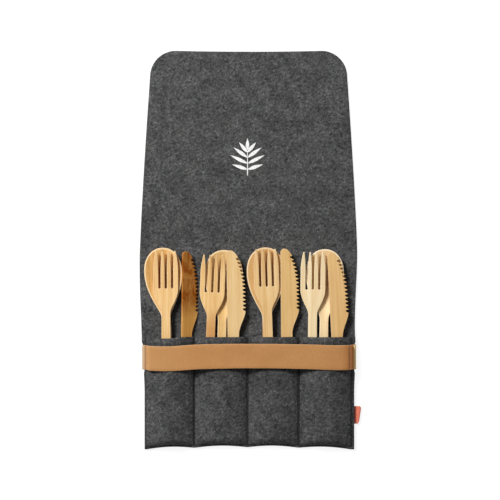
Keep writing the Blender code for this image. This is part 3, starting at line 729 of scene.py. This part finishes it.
def add_pocket_row(bm, seam_and_shade, down, foot):
    """Points of the sewn part: underside, floors, ceilings and outside, the middle two by column."""
    point = bm.verts.new
    low, top, inner, outer = [], {}, {}, []
    for c, (kind, value) in enumerate(COLUMNS):
        y = row_y(column_x((kind, value), MOUTH - down), down)
        x = column_x((kind, value), y)
        up = y + lip(x, down)
        lift = lift_at(y)
        if kind in ("left", "right"):
            edge = drop(value, FELT_ROUND)
            low.append(point((x, y, lift + edge)))
            flat = lift + 2 * FELT * SEWN_FLAT - max(edge, drop(down, FELT_ROUND))
            outer.append(point((x, up, flat)))
            if value == 0.0 or down == 0.0:
                groove = (EDGE_GROOVE if kind == "left" else -EDGE_GROOVE) * (1 - value / SEAM_PAST)
                top[c] = point((x + groove, y, lift + FELT))
            continue
        sewn = value in (0.0, 1.0)
        low.append(point((x, y, lift)))
        z = felt_outside(kind, value, y, down) - drop(down, FELT_ROUND)
        outer.append(point((x, up, z)))
        # painted shade on the felt in the crease just above the band
        shade = MOUTH_SHADE * smooth(1 - (y - BAND_TOP) / MOUTH_SHADE_RUN) if y > BAND_TOP else 0.0
        outer[-1][seam_and_shade] = 1.0 if sewn else shade
        top[c] = point((x, y, lift + FELT))
        if sewn or foot:
            inner[c] = top[c]
        else:
            height = crest(kind, down) * arch(value) * min(1.0, dents(kind, value, down))
            inner[c] = point((x, up, lift + FELT + height + drop(down, 0.8 * MM)))
    return low, top, inner, outer


def join_flap(bm, rows):
    """Both sides of the single sheet and the cut edge round it."""
    face = bm.faces.new
    for (low_a, top_a), (low_b, top_b) in zip(rows, rows[1:]):
        for c in range(LAST):
            face((low_a[c], low_a[c + 1], low_b[c + 1], low_b[c]))
            face((top_a[c + 1], top_a[c], top_b[c], top_b[c + 1]))
        face((top_a[0], low_a[0], low_b[0], top_b[0]))
        face((low_a[LAST], top_a[LAST], top_b[LAST], low_b[LAST]))
    low, top = rows[0]
    for c in range(LAST):
        face((low[c + 1], low[c], top[c], top[c + 1]))


def join_pockets(bm, rows):
    """Underside, outside, floors and ceilings of the pockets, their sewn edges and their mouths."""
    face = bm.faces.new
    for (low_a, top_a, inner_a, outer_a), (low_b, top_b, inner_b, outer_b) in zip(rows, rows[1:]):
        for c in range(LAST):
            face((low_a[c], low_a[c + 1], low_b[c + 1], low_b[c]))
            face((outer_a[c + 1], outer_a[c], outer_b[c], outer_b[c + 1]))
            if c in inner_a and COLUMNS[c][0] == COLUMNS[c + 1][0]:
                face((top_a[c + 1], top_a[c], top_b[c], top_b[c + 1]))
                face((inner_a[c], inner_a[c + 1], inner_b[c + 1], inner_b[c]))
        for c in (0, LAST):
            face((low_a[c], top_a[c], top_b[c], low_b[c]))
            face((top_a[c], outer_a[c], outer_b[c], top_b[c]))
    _, top, inner, outer = rows[0]
    for c in range(LAST):
        face((outer[c], outer[c + 1], inner.get(c + 1, top[c + 1]), inner.get(c, top[c])))


def fold_foot(bm, low, top, outer):
    """The round fold from the outside of the pockets to the underside."""
    face = bm.faces.new
    fold = [outer]
    for k in range(1, FOLD_STEPS):
        turn = pi * k / FOLD_STEPS
        line = []
        for start, end in zip(outer, low):
            radius = (start.co.z - end.co.z) / 2
            z = end.co.z + radius * (1 + cos(turn))
            line.append(bm.verts.new((start.co.x, start.co.y - FELT * sin(turn), z)))
        fold.append(line)
    fold.append(low)
    for a, b in zip(fold, fold[1:]):
        for c in range(LAST):
            face((a[c + 1], a[c], b[c], b[c + 1]))
    for c in (0, LAST):
        face((top[c], *[line[c] for line in fold]))


def felt_bmesh():
    """The folded and sewn sheet, with four layers as in the frame."""
    bm = bmesh.new()
    seam_and_shade = bm.verts.layers.float.new("seam_and_shade")
    flap = [add_flap_row(bm, y, inset) for y, inset in flap_rows()]
    downs = pocket_rows()
    pockets = [add_pocket_row(bm, seam_and_shade, down, down == downs[-1]) for down in downs]
    join_flap(bm, [*flap, pockets[0][:2]])
    join_pockets(bm, pockets)
    low, top, _, outer = pockets[-1]
    fold_foot(bm, low, top, outer)
    return bm


def tube(bm, places, radius, sides=6):
    """A closed round thread through the places."""
    rings = []
    for k, place in enumerate(places):
        ahead = places[min(k + 1, len(places) - 1)] - places[max(k - 1, 0)]
        turn = ahead.to_track_quat("Z", "Y")
        end = 0.45 if k in (0, len(places) - 1) else 1.0
        ring = []
        for s in range(sides):
            a = 2 * pi * s / sides
            away = turn @ Vector((cos(a), sin(a), 0)) * radius * end
            ring.append(bm.verts.new(place + away))
        rings.append(ring)
    skin(bm, rings)


def seam_bmesh(tree):
    """Stitches along the side seams and the seams between the pockets."""
    bm = bmesh.new()
    for x in (SEAM_LINES[0] - STITCH_OUT, *SEAM_LINES[1:-1], SEAM_LINES[-1] + STITCH_OUT):
        down = FIRST_STITCH
        while down < DEPTH - STITCH:
            places = []
            for k in range(6):
                along = k / 5
                sway = 0.12 * MM * sin(9 * down / MM)
                y = row_y(x, down + STITCH * along)
                dip = 1.1 * THREAD * (2 * along - 1) ** 4
                z = top_of(tree, x, y) + THREAD * 0.3 - dip
                places.append(Vector((x + sway, y, z)))
            tube(bm, places, THREAD)
            down += STITCH_PITCH
    return bm


def leaf(length, width, steps=14):
    """Outline of a leaf along +Y from the origin."""
    shares = [k / steps for k in range(steps + 1)]
    side = [(width / 2 * sin(pi * t**0.85) * (1 - 0.25 * t), length * t) for t in shares]
    return side[:-1] + [(-x, y) for x, y in reversed(side)][:-1]


def sprig():
    """Outlines of a stem with pairs of leaves and one at its top."""
    size = PRINT_SIZE
    shapes = [[(x * size, y * size) for x, y in STEM]]
    for at, length, angle in LEAF_PAIRS:
        for side in (-1, 1):
            turn = Matrix.Rotation(-side * radians(angle), 2)
            outline = leaf(length * size, LEAF_WIDTH * size)
            shapes.append([tuple(turn @ Vector(p) + Vector((0, at * size))) for p in outline])
    at, length = TOP_LEAF
    shapes.append([(x, y + at * size) for x, y in leaf(length * size, LEAF_WIDTH * size)])
    return shapes


def print_bmesh(tree):
    """A sprig of leaves printed on the flap."""
    bm = bmesh.new()
    for outline in sprig():
        flat = bmesh.new()
        blank = flat.faces.new([flat.verts.new((x, y, 0)) for x, y in outline])
        bmesh.ops.triangulate(flat, faces=[blank])
        bmesh.ops.subdivide_edges(flat, edges=flat.edges, cuts=2, use_grid_fill=True)
        upper, lower = {}, {}
        for v in flat.verts:
            x, y = v.co.x + PRINT_AT[0], v.co.y + PRINT_AT[1]
            z = top_of(tree, x, y)
            upper[v] = bm.verts.new((x, y, z + PRINT_RAISE))
            lower[v] = bm.verts.new((x, y, z - PRINT_RAISE))
        for f in flat.faces:
            bm.faces.new([upper[v] for v in f.verts])
            bm.faces.new([lower[v] for v in reversed(f.verts)])
        for e in flat.edges:
            if e.is_boundary:
                a, b = e.verts
                bm.faces.new((upper[a], upper[b], lower[b], lower[a]))
        flat.free()
    return bm


def stretched(xs, tops):
    """The tops with the leather straight from crest to crest."""
    hull = []
    for k in range(len(xs)):
        while len(hull) > 1:
            a, b = hull[-2:]
            if (xs[b] - xs[a]) * (tops[k] - tops[a]) < (tops[b] - tops[a]) * (xs[k] - xs[a]):
                break
            hull.pop()
        hull.append(k)
    return np.interp(xs, xs[hull], tops[hull])


def fall_to_edge(xs, tops, edge, crest_at, side):
    """Lets the band sink from its last crest and drop to a low strip at the wrap's edge."""
    strip = tops[edge]
    run = abs(xs[crest_at] - xs[edge])
    for k, x in enumerate(xs):
        if (x - xs[crest_at]) * side < 0:
            inward = (x - xs[edge]) * side
            shoulder = tops[crest_at] - BAND_SAG * (1 - inward / run) ** 2
            wall = smooth((inward - BAND_STRIP) / BAND_WALL)
            tops[k] = max(tops[k], strip + (shoulder - strip) * wall)


def turn_under(x, top, low, side):
    """The band's way round an edge of the wrap, from above to below."""
    radius = (top - low) / 2
    out = side * (LEATHER / 2 + CLEAR)
    turns = [pi * k / 12 for k in range(1, 12)]
    return [(x + out * sin(a) ** 0.6, low + radius * (1 + cos(a))) for a in turns]


def band_line(tree):
    """The band's middle line round the wrap, as (x, z): over the pockets, then back underneath."""
    y = (BAND_TOP + BAND_FOOT) / 2
    half = half_width(y)
    aside = MIDDLE + skew(y)
    xs = np.arange(aside - half, aside + half, BAND_STEP)
    tops = np.array([top_of(tree, x, y) for x in xs]) + LEATHER / 2 + CLEAR
    ends = (POCKETS[0], POCKETS[-1])
    first, last = (int(np.argmax(np.where((xs > left) & (xs < right), tops, 0.0))) for left, right in ends)
    over = slice(first, last + 1)
    tops[over] = stretched(xs[over], tops[over])
    fall_to_edge(xs, tops, 0, first, 1)
    fall_to_edge(xs, tops, -1, last, -1)
    tops = smoothed(tops, 3, 2)
    low = LEATHER / 2 + 0.02 * MM
    right = turn_under(xs[-1], tops[-1], low, 1)
    under = [(x, low) for x in np.arange(xs[-1], xs[0], -UNDER_STEP)]
    left = turn_under(xs[0], tops[0], low, -1)
    return [*zip(xs, tops), *right, *under, *reversed(left)]


def band_bmesh(tree):
    """A flat belt with rounded cut edges swept round its middle line."""
    line = [Vector(p) for p in band_line(tree)]
    middle = (BAND_TOP + BAND_FOOT) / 2
    half = BAND_WIDTH / 2 - 0.3 * MM
    section = [(-half, -0.4), (-half, 0.4), (-half + 0.12 * MM, 0.8), (-half + 0.45 * MM, 1.0)]
    section += [(half * s, 1.0) for s in (-0.7, -0.35, 0.0, 0.35, 0.7)]
    section += [(-y, out) for y, out in reversed(section[:4])]
    section += [(y, -out) for y, out in reversed(section[2:-2])]
    bm = bmesh.new()
    layer = bm.verts.layers.float.new("edge")
    rings = []
    count = len(line)
    for k, place in enumerate(line):
        along = (line[(k + 1) % count] - line[k - 1]).normalized()
        out = Vector((-along.y, along.x))
        bow = BAND_BOW * cos(pi * (place.x - BAND_BOW_AT) / (2 * WRAP_WIDTH)) ** 4
        ring = []
        for y, share in section:
            sway = 0.25 * MM * wave(place.x, y, 30, 6.0)
            for at_x, deep, run in BAND_SWAYS:
                sway -= deep * exp(-(((place.x - at_x) / run) ** 2))
            cupped = share > 0 and place.y > 4 * MM
            cup = BAND_CUP * (1 - (y / half) ** 2) if cupped else 0.0
            at = place + out * (LEATHER / 2 * share - cup)
            vert = bm.verts.new((at.x, middle + y + bow + sway, max(at.y, 0.0)))
            # the cut edges carry the painted highlight
            vert[layer] = 1.0 if half - abs(y) < 0.3 * MM else 0.0
            ring.append(vert)
        rings.append(ring)
    skin(bm, rings + rings[:1], capped=False)
    return bm


def tab_bmesh():
    """The ribbon folded double, with soft selvedges."""
    start = MIDDLE + half_width(TAB_Y) - TAB_IN
    length = TAB_IN + TAB_OUT + TAB_LONGER
    radius = RIBBON + RIBBON_SLIT
    bend = length - radius
    turns = [pi / 2 * (1 - k / 8) for k in range(17)]
    straight = [bend * s for s in (0.0, 0.25, 0.5, 0.75)]

    def hairpin(r):
        back = [(x, -r) for x in reversed(straight)]
        return [(x, r) for x in straight] + [(bend + r * cos(a), r * sin(a)) for a in turns] + back

    profile = [*hairpin(radius), *reversed(hairpin(RIBBON_SLIT))]
    bm = bmesh.new()
    rings = []
    for share in (-1.0, -0.985, -0.94, -0.87, -0.8, -0.5, 0.0, 0.5, 0.8, 0.87, 0.94, 0.985, 1.0):
        thin = 0.55 if abs(share) == 1 else 0.85 if abs(share) > 0.98 else 1.0
        shorter = (TAB_TAPER + TAB_LONGER) * (1 - share) / 2
        ring = []
        for x, z in profile:
            level = copysign(RIBBON_SLIT + RIBBON / 2, z)
            squeezed = level + (z - level) * thin if abs(z) > RIBBON_SLIT * 0.99 else z
            drawn = x * (length - shorter) / length if x > length / 2 else x
            corner = 1.3 * MM * smooth((abs(share) - 0.8) / 0.2) if x > bend else 0.0
            place = (start + drawn - corner, TAB_Y + share * TAB_WIDTH / 2, FELT + squeezed)
            ring.append(bm.verts.new(place))
        rings.append(ring)
    skin(bm, rings)
    return bm


# Cutlery


def round_end(width, y):
    """Half the width at y of a piece with a half round end."""
    radius = width / 2
    return sqrt(max(0.0, radius**2 - (radius - min(y, radius)) ** 2))


def handle_half(y, neck_y):
    width = HANDLE_WIDTH + (NECK_WIDTH - HANDLE_WIDTH) * smooth(y / neck_y)
    return min(width / 2, round_end(HANDLE_WIDTH, y))


def blend_widths(head, handle):
    """The larger of two half widths, with a soft change between them."""
    return (head**4 + handle**4) ** 0.25


def arc_rows(radius, steps=12):
    """Places along a quarter round, from its end."""
    return [radius * (1 - cos(pi / 2 * k / steps)) for k in range(1, steps + 1)]


def spoon_bmesh():
    neck = SPOON_LENGTH - BOWL_NOSE - BOWL_RUN
    widest = SPOON_LENGTH - BOWL_NOSE

    def bowl_half(y):
        if y > widest:
            along = (y - widest) / BOWL_NOSE
            return BOWL_WIDTH / 2 * max(0.0, 1 - along**2.3) ** 0.48
        return BOWL_WIDTH / 2 * cos(pi / 2 * min(1.0, (widest - y) / BOWL_RUN))

    def from_middle(x, y, half):
        """0 in the middle of the bowl, 1 at its outline."""
        past = max(0.0, y - widest) / BOWL_NOSE
        beside = abs(x) / (BOWL_WIDTH / 2 if y > widest else half)
        return (beside**2.2 + past**2.3) ** 0.45

    def ring(y):
        """Points round the spoon at y, each with how deep in the bowl it is and how near the rim."""
        lobe = bowl_half(y)
        half = max(BROKEN_EDGE, lobe if y > widest else blend_widths(lobe, handle_half(y, neck)))
        rim = STOCK + (BOWL_HEIGHT - STOCK) * sin(pi / 2 * min(1.0, y / neck))
        depth = (BOWL_HEIGHT - STOCK) * (1.0 if y > widest else (lobe / (BOWL_WIDTH / 2)) ** 1.3)
        soft = min(0.7 * MM, half * 0.5)
        flat = half - soft
        lip = min(RIM_WIDTH, half * 0.2)
        within = 1 - lip / half if y < widest else 1 - RIM_WIDTH / (BOWL_WIDTH / 2)

        def dish(x):
            share = min(1.0, from_middle(x, y, half) / within)
            return 1 - share * share

        dished = [(half - lip) * sin(pi / 2 * k / 11) for k in range(-11, 12)]
        across = [-flat, *dished, flat]
        turns = [pi * k / 6 for k in range(1, 6)]
        edge = [(flat + soft * sin(a), cos(a)) for a in turns]
        middle = rim - STOCK / 2
        fade = depth / (BOWL_HEIGHT - STOCK)
        top = [((x, y, rim - depth * dish(x)), fade * dish(x), 0.0 if dish(x) > 0 else 1.0) for x in across]
        right = [((x, y, middle + STOCK / 2 * c), 0.0, 1.0) for x, c in edge]
        under = [((x, y, rim - depth * dish(x) - STOCK), 0.0, 0.0) for x in reversed(across)]
        left = [((-x, y, middle + STOCK / 2 * c), 0.0, 1.0) for x, c in reversed(edge)]
        return top + right + under + left

    end = [0.05 * MM, *arc_rows(HANDLE_WIDTH / 2)]
    handle = [neck * k / 40 for k in range(3, 41)]
    bowl = [neck + (widest - neck) * k / 26 for k in range(1, 27)]
    nose = [widest + BOWL_NOSE * sin(pi / 2 * k / 18) for k in range(1, 18)]
    bm = bmesh.new()
    layer = bm.verts.layers.float.new("edge")
    deep = bm.verts.layers.float.new("deep")
    loops = []
    for y in (*end, *handle, *bowl, *nose, SPOON_LENGTH - 0.03 * MM):
        loop = []
        for place, depth, rim in ring(y):
            vert = bm.verts.new(place)
            vert[deep] = depth
            # the rim and the rounded edges carry the painted highlight
            vert[layer] = rim
            loop.append(vert)
        loops.append(loop)
    skin(bm, loops)
    return bm


def cut_from_stock(outline, length, cuts, rise, thin=None, broken=BROKEN_EDGE):
    """A blank of the outline's shape with soft edges, cut across and bent to rise over its length."""
    bm = bmesh.new()
    layer = bm.verts.layers.float.new("edge")
    blank = bm.faces.new([bm.verts.new((x, y, 0)) for x, y in outline])
    for raised in bmesh.ops.extrude_face_region(bm, geom=[blank])["geom"]:
        if isinstance(raised, bmesh.types.BMVert):
            raised.co.z = STOCK
    bm.normal_update()
    rim = [e for e in bm.edges if abs(e.verts[0].co.z - e.verts[1].co.z) < STOCK / 2]
    made = bmesh.ops.bevel(bm, geom=rim, offset=broken, segments=3, profile=0.5, affect="EDGES")
    # the rounded edges are marked for the painted highlight
    for vert in made["verts"]:
        vert[layer] = 1.0 if 0.01 * MM < vert.co.z < STOCK - 0.01 * MM else 0.0
    for k in range(1, cuts):
        everything = bm.verts[:] + bm.edges[:] + bm.faces[:]
        bmesh.ops.bisect_plane(bm, geom=everything, plane_co=(0, length * k / cuts, 0), plane_no=(0, 1, 0))
    for vert in bm.verts:
        middle = STOCK / 2
        keep = thin(vert.co.x, vert.co.y) if thin else 1.0
        vert.co.z = middle + (vert.co.z - middle) * keep + rise(vert.co.y)
    bmesh.ops.triangulate(bm, faces=[f for f in bm.faces if len(f.verts) > 4])
    return bm


def fork_bmesh():
    root = FORK_LENGTH - TINE_LENGTH
    neck = root - HEAD_RUN
    radius = SLOT_WIDTH / 2
    steps = [k / 9 for k in range(10)]

    def side(y):
        head = HEAD_WIDTH / 2 * cos(pi / 2 * min(1.0, max(0.0, root - y) / HEAD_RUN))
        return blend_widths(head, handle_half(y, neck)) if y < root else HEAD_WIDTH / 2

    def taper(base, tip, run, power=1.7):
        return [(tip + (base - tip) * (1 - s**power), FORK_LENGTH - run * (1 - s)) for s in steps]

    def point(outer, run, tip, inner):
        up = taper(outer, tip + TINE_TIP / 2, run)
        down = taper(inner, tip - TINE_TIP / 2, SLOT_FLARE, 2.4)
        return [*up, (tip, FORK_LENGTH + 0.2 * MM), *reversed(down)]

    def slot(middle, start, stop):
        turns = [radians(start + (stop - start) * k / 8) for k in range(9)]
        return [(middle + radius * cos(a), root - radius * sin(a)) for a in turns]

    def rise(y):
        if y < root:
            return FORK_BOW * sin(pi * y / root)
        return TINE_LIFT * ((y - root) / TINE_LENGTH) ** 2

    end = [(round_end(HANDLE_WIDTH, y), y) for y in arc_rows(HANDLE_WIDTH / 2)]
    handle = [(side(y), y) for y in (neck * k / 12 for k in range(2, 13))]
    head = [(side(y), y) for y in (neck + HEAD_RUN * k / 16 for k in range(1, 17))]
    outer_tine = point(HEAD_WIDTH / 2, OUTER_POINT, OUTER_TIP, SLOT_PITCH + radius)
    inner_tine = point(SLOT_PITCH - radius, SLOT_FLARE, SLOT_PITCH / 2, radius)
    right = [*end, *handle, *head, *outer_tine, *slot(SLOT_PITCH, 0, 180), *inner_tine]
    right += slot(0, 0, 90)[:-1]
    left = [(-x, y) for x, y in reversed(right)]
    outline = [(0.0, 0.0), *right, (0.0, root - radius), *left]
    return cut_from_stock(outline, FORK_LENGTH, 24, rise)


def knife_bmesh():
    heel = KNIFE_LENGTH - BLADE_LENGTH
    grip = heel - HEEL_RUN

    def width(y):
        from_tip = KNIFE_LENGTH - y
        if from_tip < BLADE_CURVE:
            return BLADE_WIDTH * max(0.0, 1 - ((BLADE_CURVE - from_tip) / BLADE_CURVE) ** 2.2) ** 0.5
        if y > heel:
            return BLADE_WIDTH
        step = smooth((y - grip) / HEEL_RUN)
        return KNIFE_HANDLE_WIDTH + (BLADE_WIDTH - KNIFE_HANDLE_WIDTH) * step

    def thin(x, y):
        """Share of the stock's thickness that is left."""
        return 1 - 0.5 * smooth((y - grip) / HEEL_RUN) * max(0.0, x) / BLADE_WIDTH

    def rise(y):
        return KNIFE_BOW * sin(pi * y / KNIFE_LENGTH)

    first = heel - TEETH_BEHIND_HEEL
    last = KNIFE_LENGTH - TEETH_FROM_TIP
    top = KNIFE_LENGTH - TIP_CUT
    pitch = (last - first) / TEETH
    teeth = []
    for k in range(TEETH):
        for share, depth in TOOTH:
            y = first + pitch * (k + share)
            teeth.append((width(y) - TOOTH_DEPTH * depth, y))
    tip = [(width(y), y) for y in (KNIFE_LENGTH - TEETH_FROM_TIP * s for s in (1.0, 0.85, 0.7, 0.56, 0.44))]
    tip += [(6.9 * MM, top - 1.1 * MM), (5.9 * MM, top - 0.45 * MM), (4.6 * MM, top - 0.1 * MM)]
    tip += [(KNIFE_TIP * s, top - KNIFE_TIP * (1 - s) ** 2) for s in (1.0, 0.8, 0.6, 0.4, 0.2, 0.0)]
    turns = [pi / 2 * k / 9 for k in range(10)]
    corner = [(KNIFE_CORNER * (1 - sin(a)), KNIFE_CORNER * (1 - cos(a))) for a in turns]
    near = [(KNIFE_HANDLE_WIDTH - x, y) for x, y in corner]
    handle = [(width(y), y) for y in (grip * 0.33, grip * 0.66, grip)]
    back = [(width(y), y) for y in (grip + (first - grip) * k / 12 for k in range(1, 12))]
    outline = [*near, *handle, *back, *teeth, *tip, *reversed(corner)]
    bm = cut_from_stock(outline, KNIFE_LENGTH, 20, rise, thin, BROKEN_EDGE / 2)
    highlight_layer = bm.verts.layers.float["edge"]
    # no painted highlight on the toothed edge, so the notches stay dark
    for vert in bm.verts:
        if first < vert.co.y < last and vert.co.x > BLADE_WIDTH / 3:
            vert[highlight_layer] = 0.0
    return bm


def axes_of(mesh):
    """The centre and the three axes of a closed mesh, from its volume."""
    mesh.calc_loop_triangles()
    points = np.array([v.co for v in mesh.vertices])
    corners = points[[tuple(t.vertices) for t in mesh.loop_triangles]]
    volume = np.einsum("ij,ij->i", corners[:, 0], np.cross(corners[:, 1], corners[:, 2])) / 6
    total = corners.sum(axis=1)
    centre = volume @ total / 4 / volume.sum()
    pairs = np.einsum("tki,tkj->tij", corners, corners) + np.einsum("ti,tj->tij", total, total)
    spread = np.einsum("t,tij->ij", volume, pairs) / 20 / volume.sum()
    _, axes = np.linalg.eigh(spread - np.outer(centre, centre))
    along = axes[:, 2] * np.sign(axes[1, 2])
    across = axes[:, 1] * np.sign(axes[0, 1])
    up = np.cross(across, along)
    turn = Matrix([list(row) for row in np.column_stack([across, along, up])])
    return Vector(centre), turn


def lay_on(obj, node):
    """Moves a piece so that its solid lies where the CAD node's does."""
    centre, turn = axes_of(obj.data)
    place, turned = axes_of(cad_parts[node].data)
    rotation = (turned @ turn.transposed()).to_4x4()
    obj.matrix_world = Matrix.Translation(place) @ rotation @ Matrix.Translation(-centre)


FINISHES = {
    # mean colour, spread, grain shift
    "spoon_1": ((231, 186, 118), 1.0, 1.0),
    "fork_1": ((232, 190, 129), 0.7, 2.3),
    "knife_1": ((222, 164, 84), 1.0, 3.1),
    "spoon_2": ((227, 188, 124), 0.9, 4.7),
    "fork_2": ((230, 187, 125), 1.0, 5.2),
    "knife_2": ((231, 194, 137), 0.6, 6.9),
    "spoon_3": ((226, 184, 121), 1.0, 7.4),
    "fork_3": ((229, 191, 134), 0.7, 8.8),
    "knife_3": ((223, 182, 120), 0.7, 9.5),
    "spoon_4": ((243, 212, 161), 0.45, 10.1),
    "fork_4": ((237, 211, 166), 0.6, 11.6),
    "knife_4": ((224, 180, 118), 0.7, 12.4),
}
# Darker stretches, a stain on the first knife and darker towards the mouth on the others: colour, then where
# they begin and are full, from the handle's end
DARKER_STRETCHES = {
    "knife_1": (screen(150, 78, 2), 120.0 * MM, 137.0 * MM),
    "fork_2": (screen(200, 147, 87), 136.0 * MM, 112.0 * MM),
    "spoon_3": (screen(206, 156, 94), 120.0 * MM, 106.0 * MM),
}
CROSS_LINE = 158.0 * MM  # faint node line of the first knife
SHAPES = {"spoon": spoon_bmesh, "fork": fork_bmesh, "knife": knife_bmesh}


def lay_cutlery():
    for name, (mean, spread, shift) in FINISHES.items():
        kind = name.split("_")[0]
        line = CROSS_LINE if name == "knife_1" else None
        look = bamboo_look(f"bamboo_{name}", mean, spread, shift, DARKER_STRETCHES.get(name), line)
        obj = piece(f"{name}_fine", SHAPES[kind](), look, name, 50)
        lay_on(obj, name)
        smoother = obj.modifiers.new("flat faces", "WEIGHTED_NORMAL")
        smoother.keep_sharp = True
        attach(obj, "root")


lay_cutlery()

felt = piece("felt_sheet", felt_bmesh(), felt_look(), "felt_wrap", 75)
FINE_TREE = tree_of(felt.data)
seams = piece("seam_stitches", seam_bmesh(FINE_TREE), thread_look())
motif = piece("flap_print", print_bmesh(FINE_TREE), print_look())
band = piece("band_belt", band_bmesh(FINE_TREE), leather_look(), "leather_band")
tab = piece("tab_loop", tab_bmesh(), ribbon_look(), "side_tab")
for obj in (felt, seams, motif, band, tab):
    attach(obj, "root")


# Floor, light and camera

FLOOR_WHITE = 1.1
FLOOR_EVEN = 0.8  # share of it that no shadow touches
KEY_AT = (-0.78, 0.77, 1.23)
KEY_SIZE = 0.49
KEY_POWER = 31.6
AMBIENT = 0.22
CAMERA_HEIGHT = 1.6
VIEW_WIDTH = 0.5  # seen at the height of the table


def floor_look():
    """White paper: evenly white to the camera but for a faint shadow."""
    look = Look("floor", 0.9)
    look.colour(screen(250, 250, 250))
    rays = look.node("LightPath")
    seen = look.plus(rays["Is Camera Ray"], rays["Is Glossy Ray"])
    seen = look.math("ADD", seen, rays["Is Transmission Ray"], clamp=True)
    white = look.node("Emission", {"Strength": FLOOR_WHITE})[0]
    lit = look.shader.outputs[0]
    mixed = look.node("MixShader", {"Fac": look.times(seen, FLOOR_EVEN), 1: lit, 2: white})[0]
    look.plug(mixed, look.tree.nodes["Material Output"].inputs["Surface"])
    return look.material


def add_floor():
    bpy.ops.mesh.primitive_plane_add(size=60.0, location=(0, 0, -0.02 * MM))
    floor = bpy.context.object
    floor.name = "floor"
    floor.data.materials.append(floor_look())


def add_key():
    """A square light that looks at the middle of the wrap."""
    data = bpy.data.lights.new("key", "AREA")
    data.shape = "SQUARE"
    data.size = KEY_SIZE
    data.energy = KEY_POWER
    light = add("key", data)
    light.location = KEY_AT
    light.rotation_euler = Vector(KEY_AT).to_track_quat("Z", "Y").to_euler()


def add_camera():
    data = bpy.data.cameras.new("camera")
    data.sensor_width = 36.0
    data.lens = data.sensor_width * CAMERA_HEIGHT / VIEW_WIDTH
    camera = add("camera", data)
    camera.location = (0, 0, CAMERA_HEIGHT)
    bpy.context.scene.camera = camera


def set_world():
    world = bpy.data.worlds.new("studio")
    world.use_nodes = True
    background = world.node_tree.nodes["Background"]
    background.inputs["Color"].default_value = (1.0, 1.0, 1.0, 1.0)
    background.inputs["Strength"].default_value = AMBIENT
    bpy.context.scene.world = world
    bpy.context.scene.view_settings.view_transform = "Standard"


add_floor()
set_world()
add_key()
add_camera()
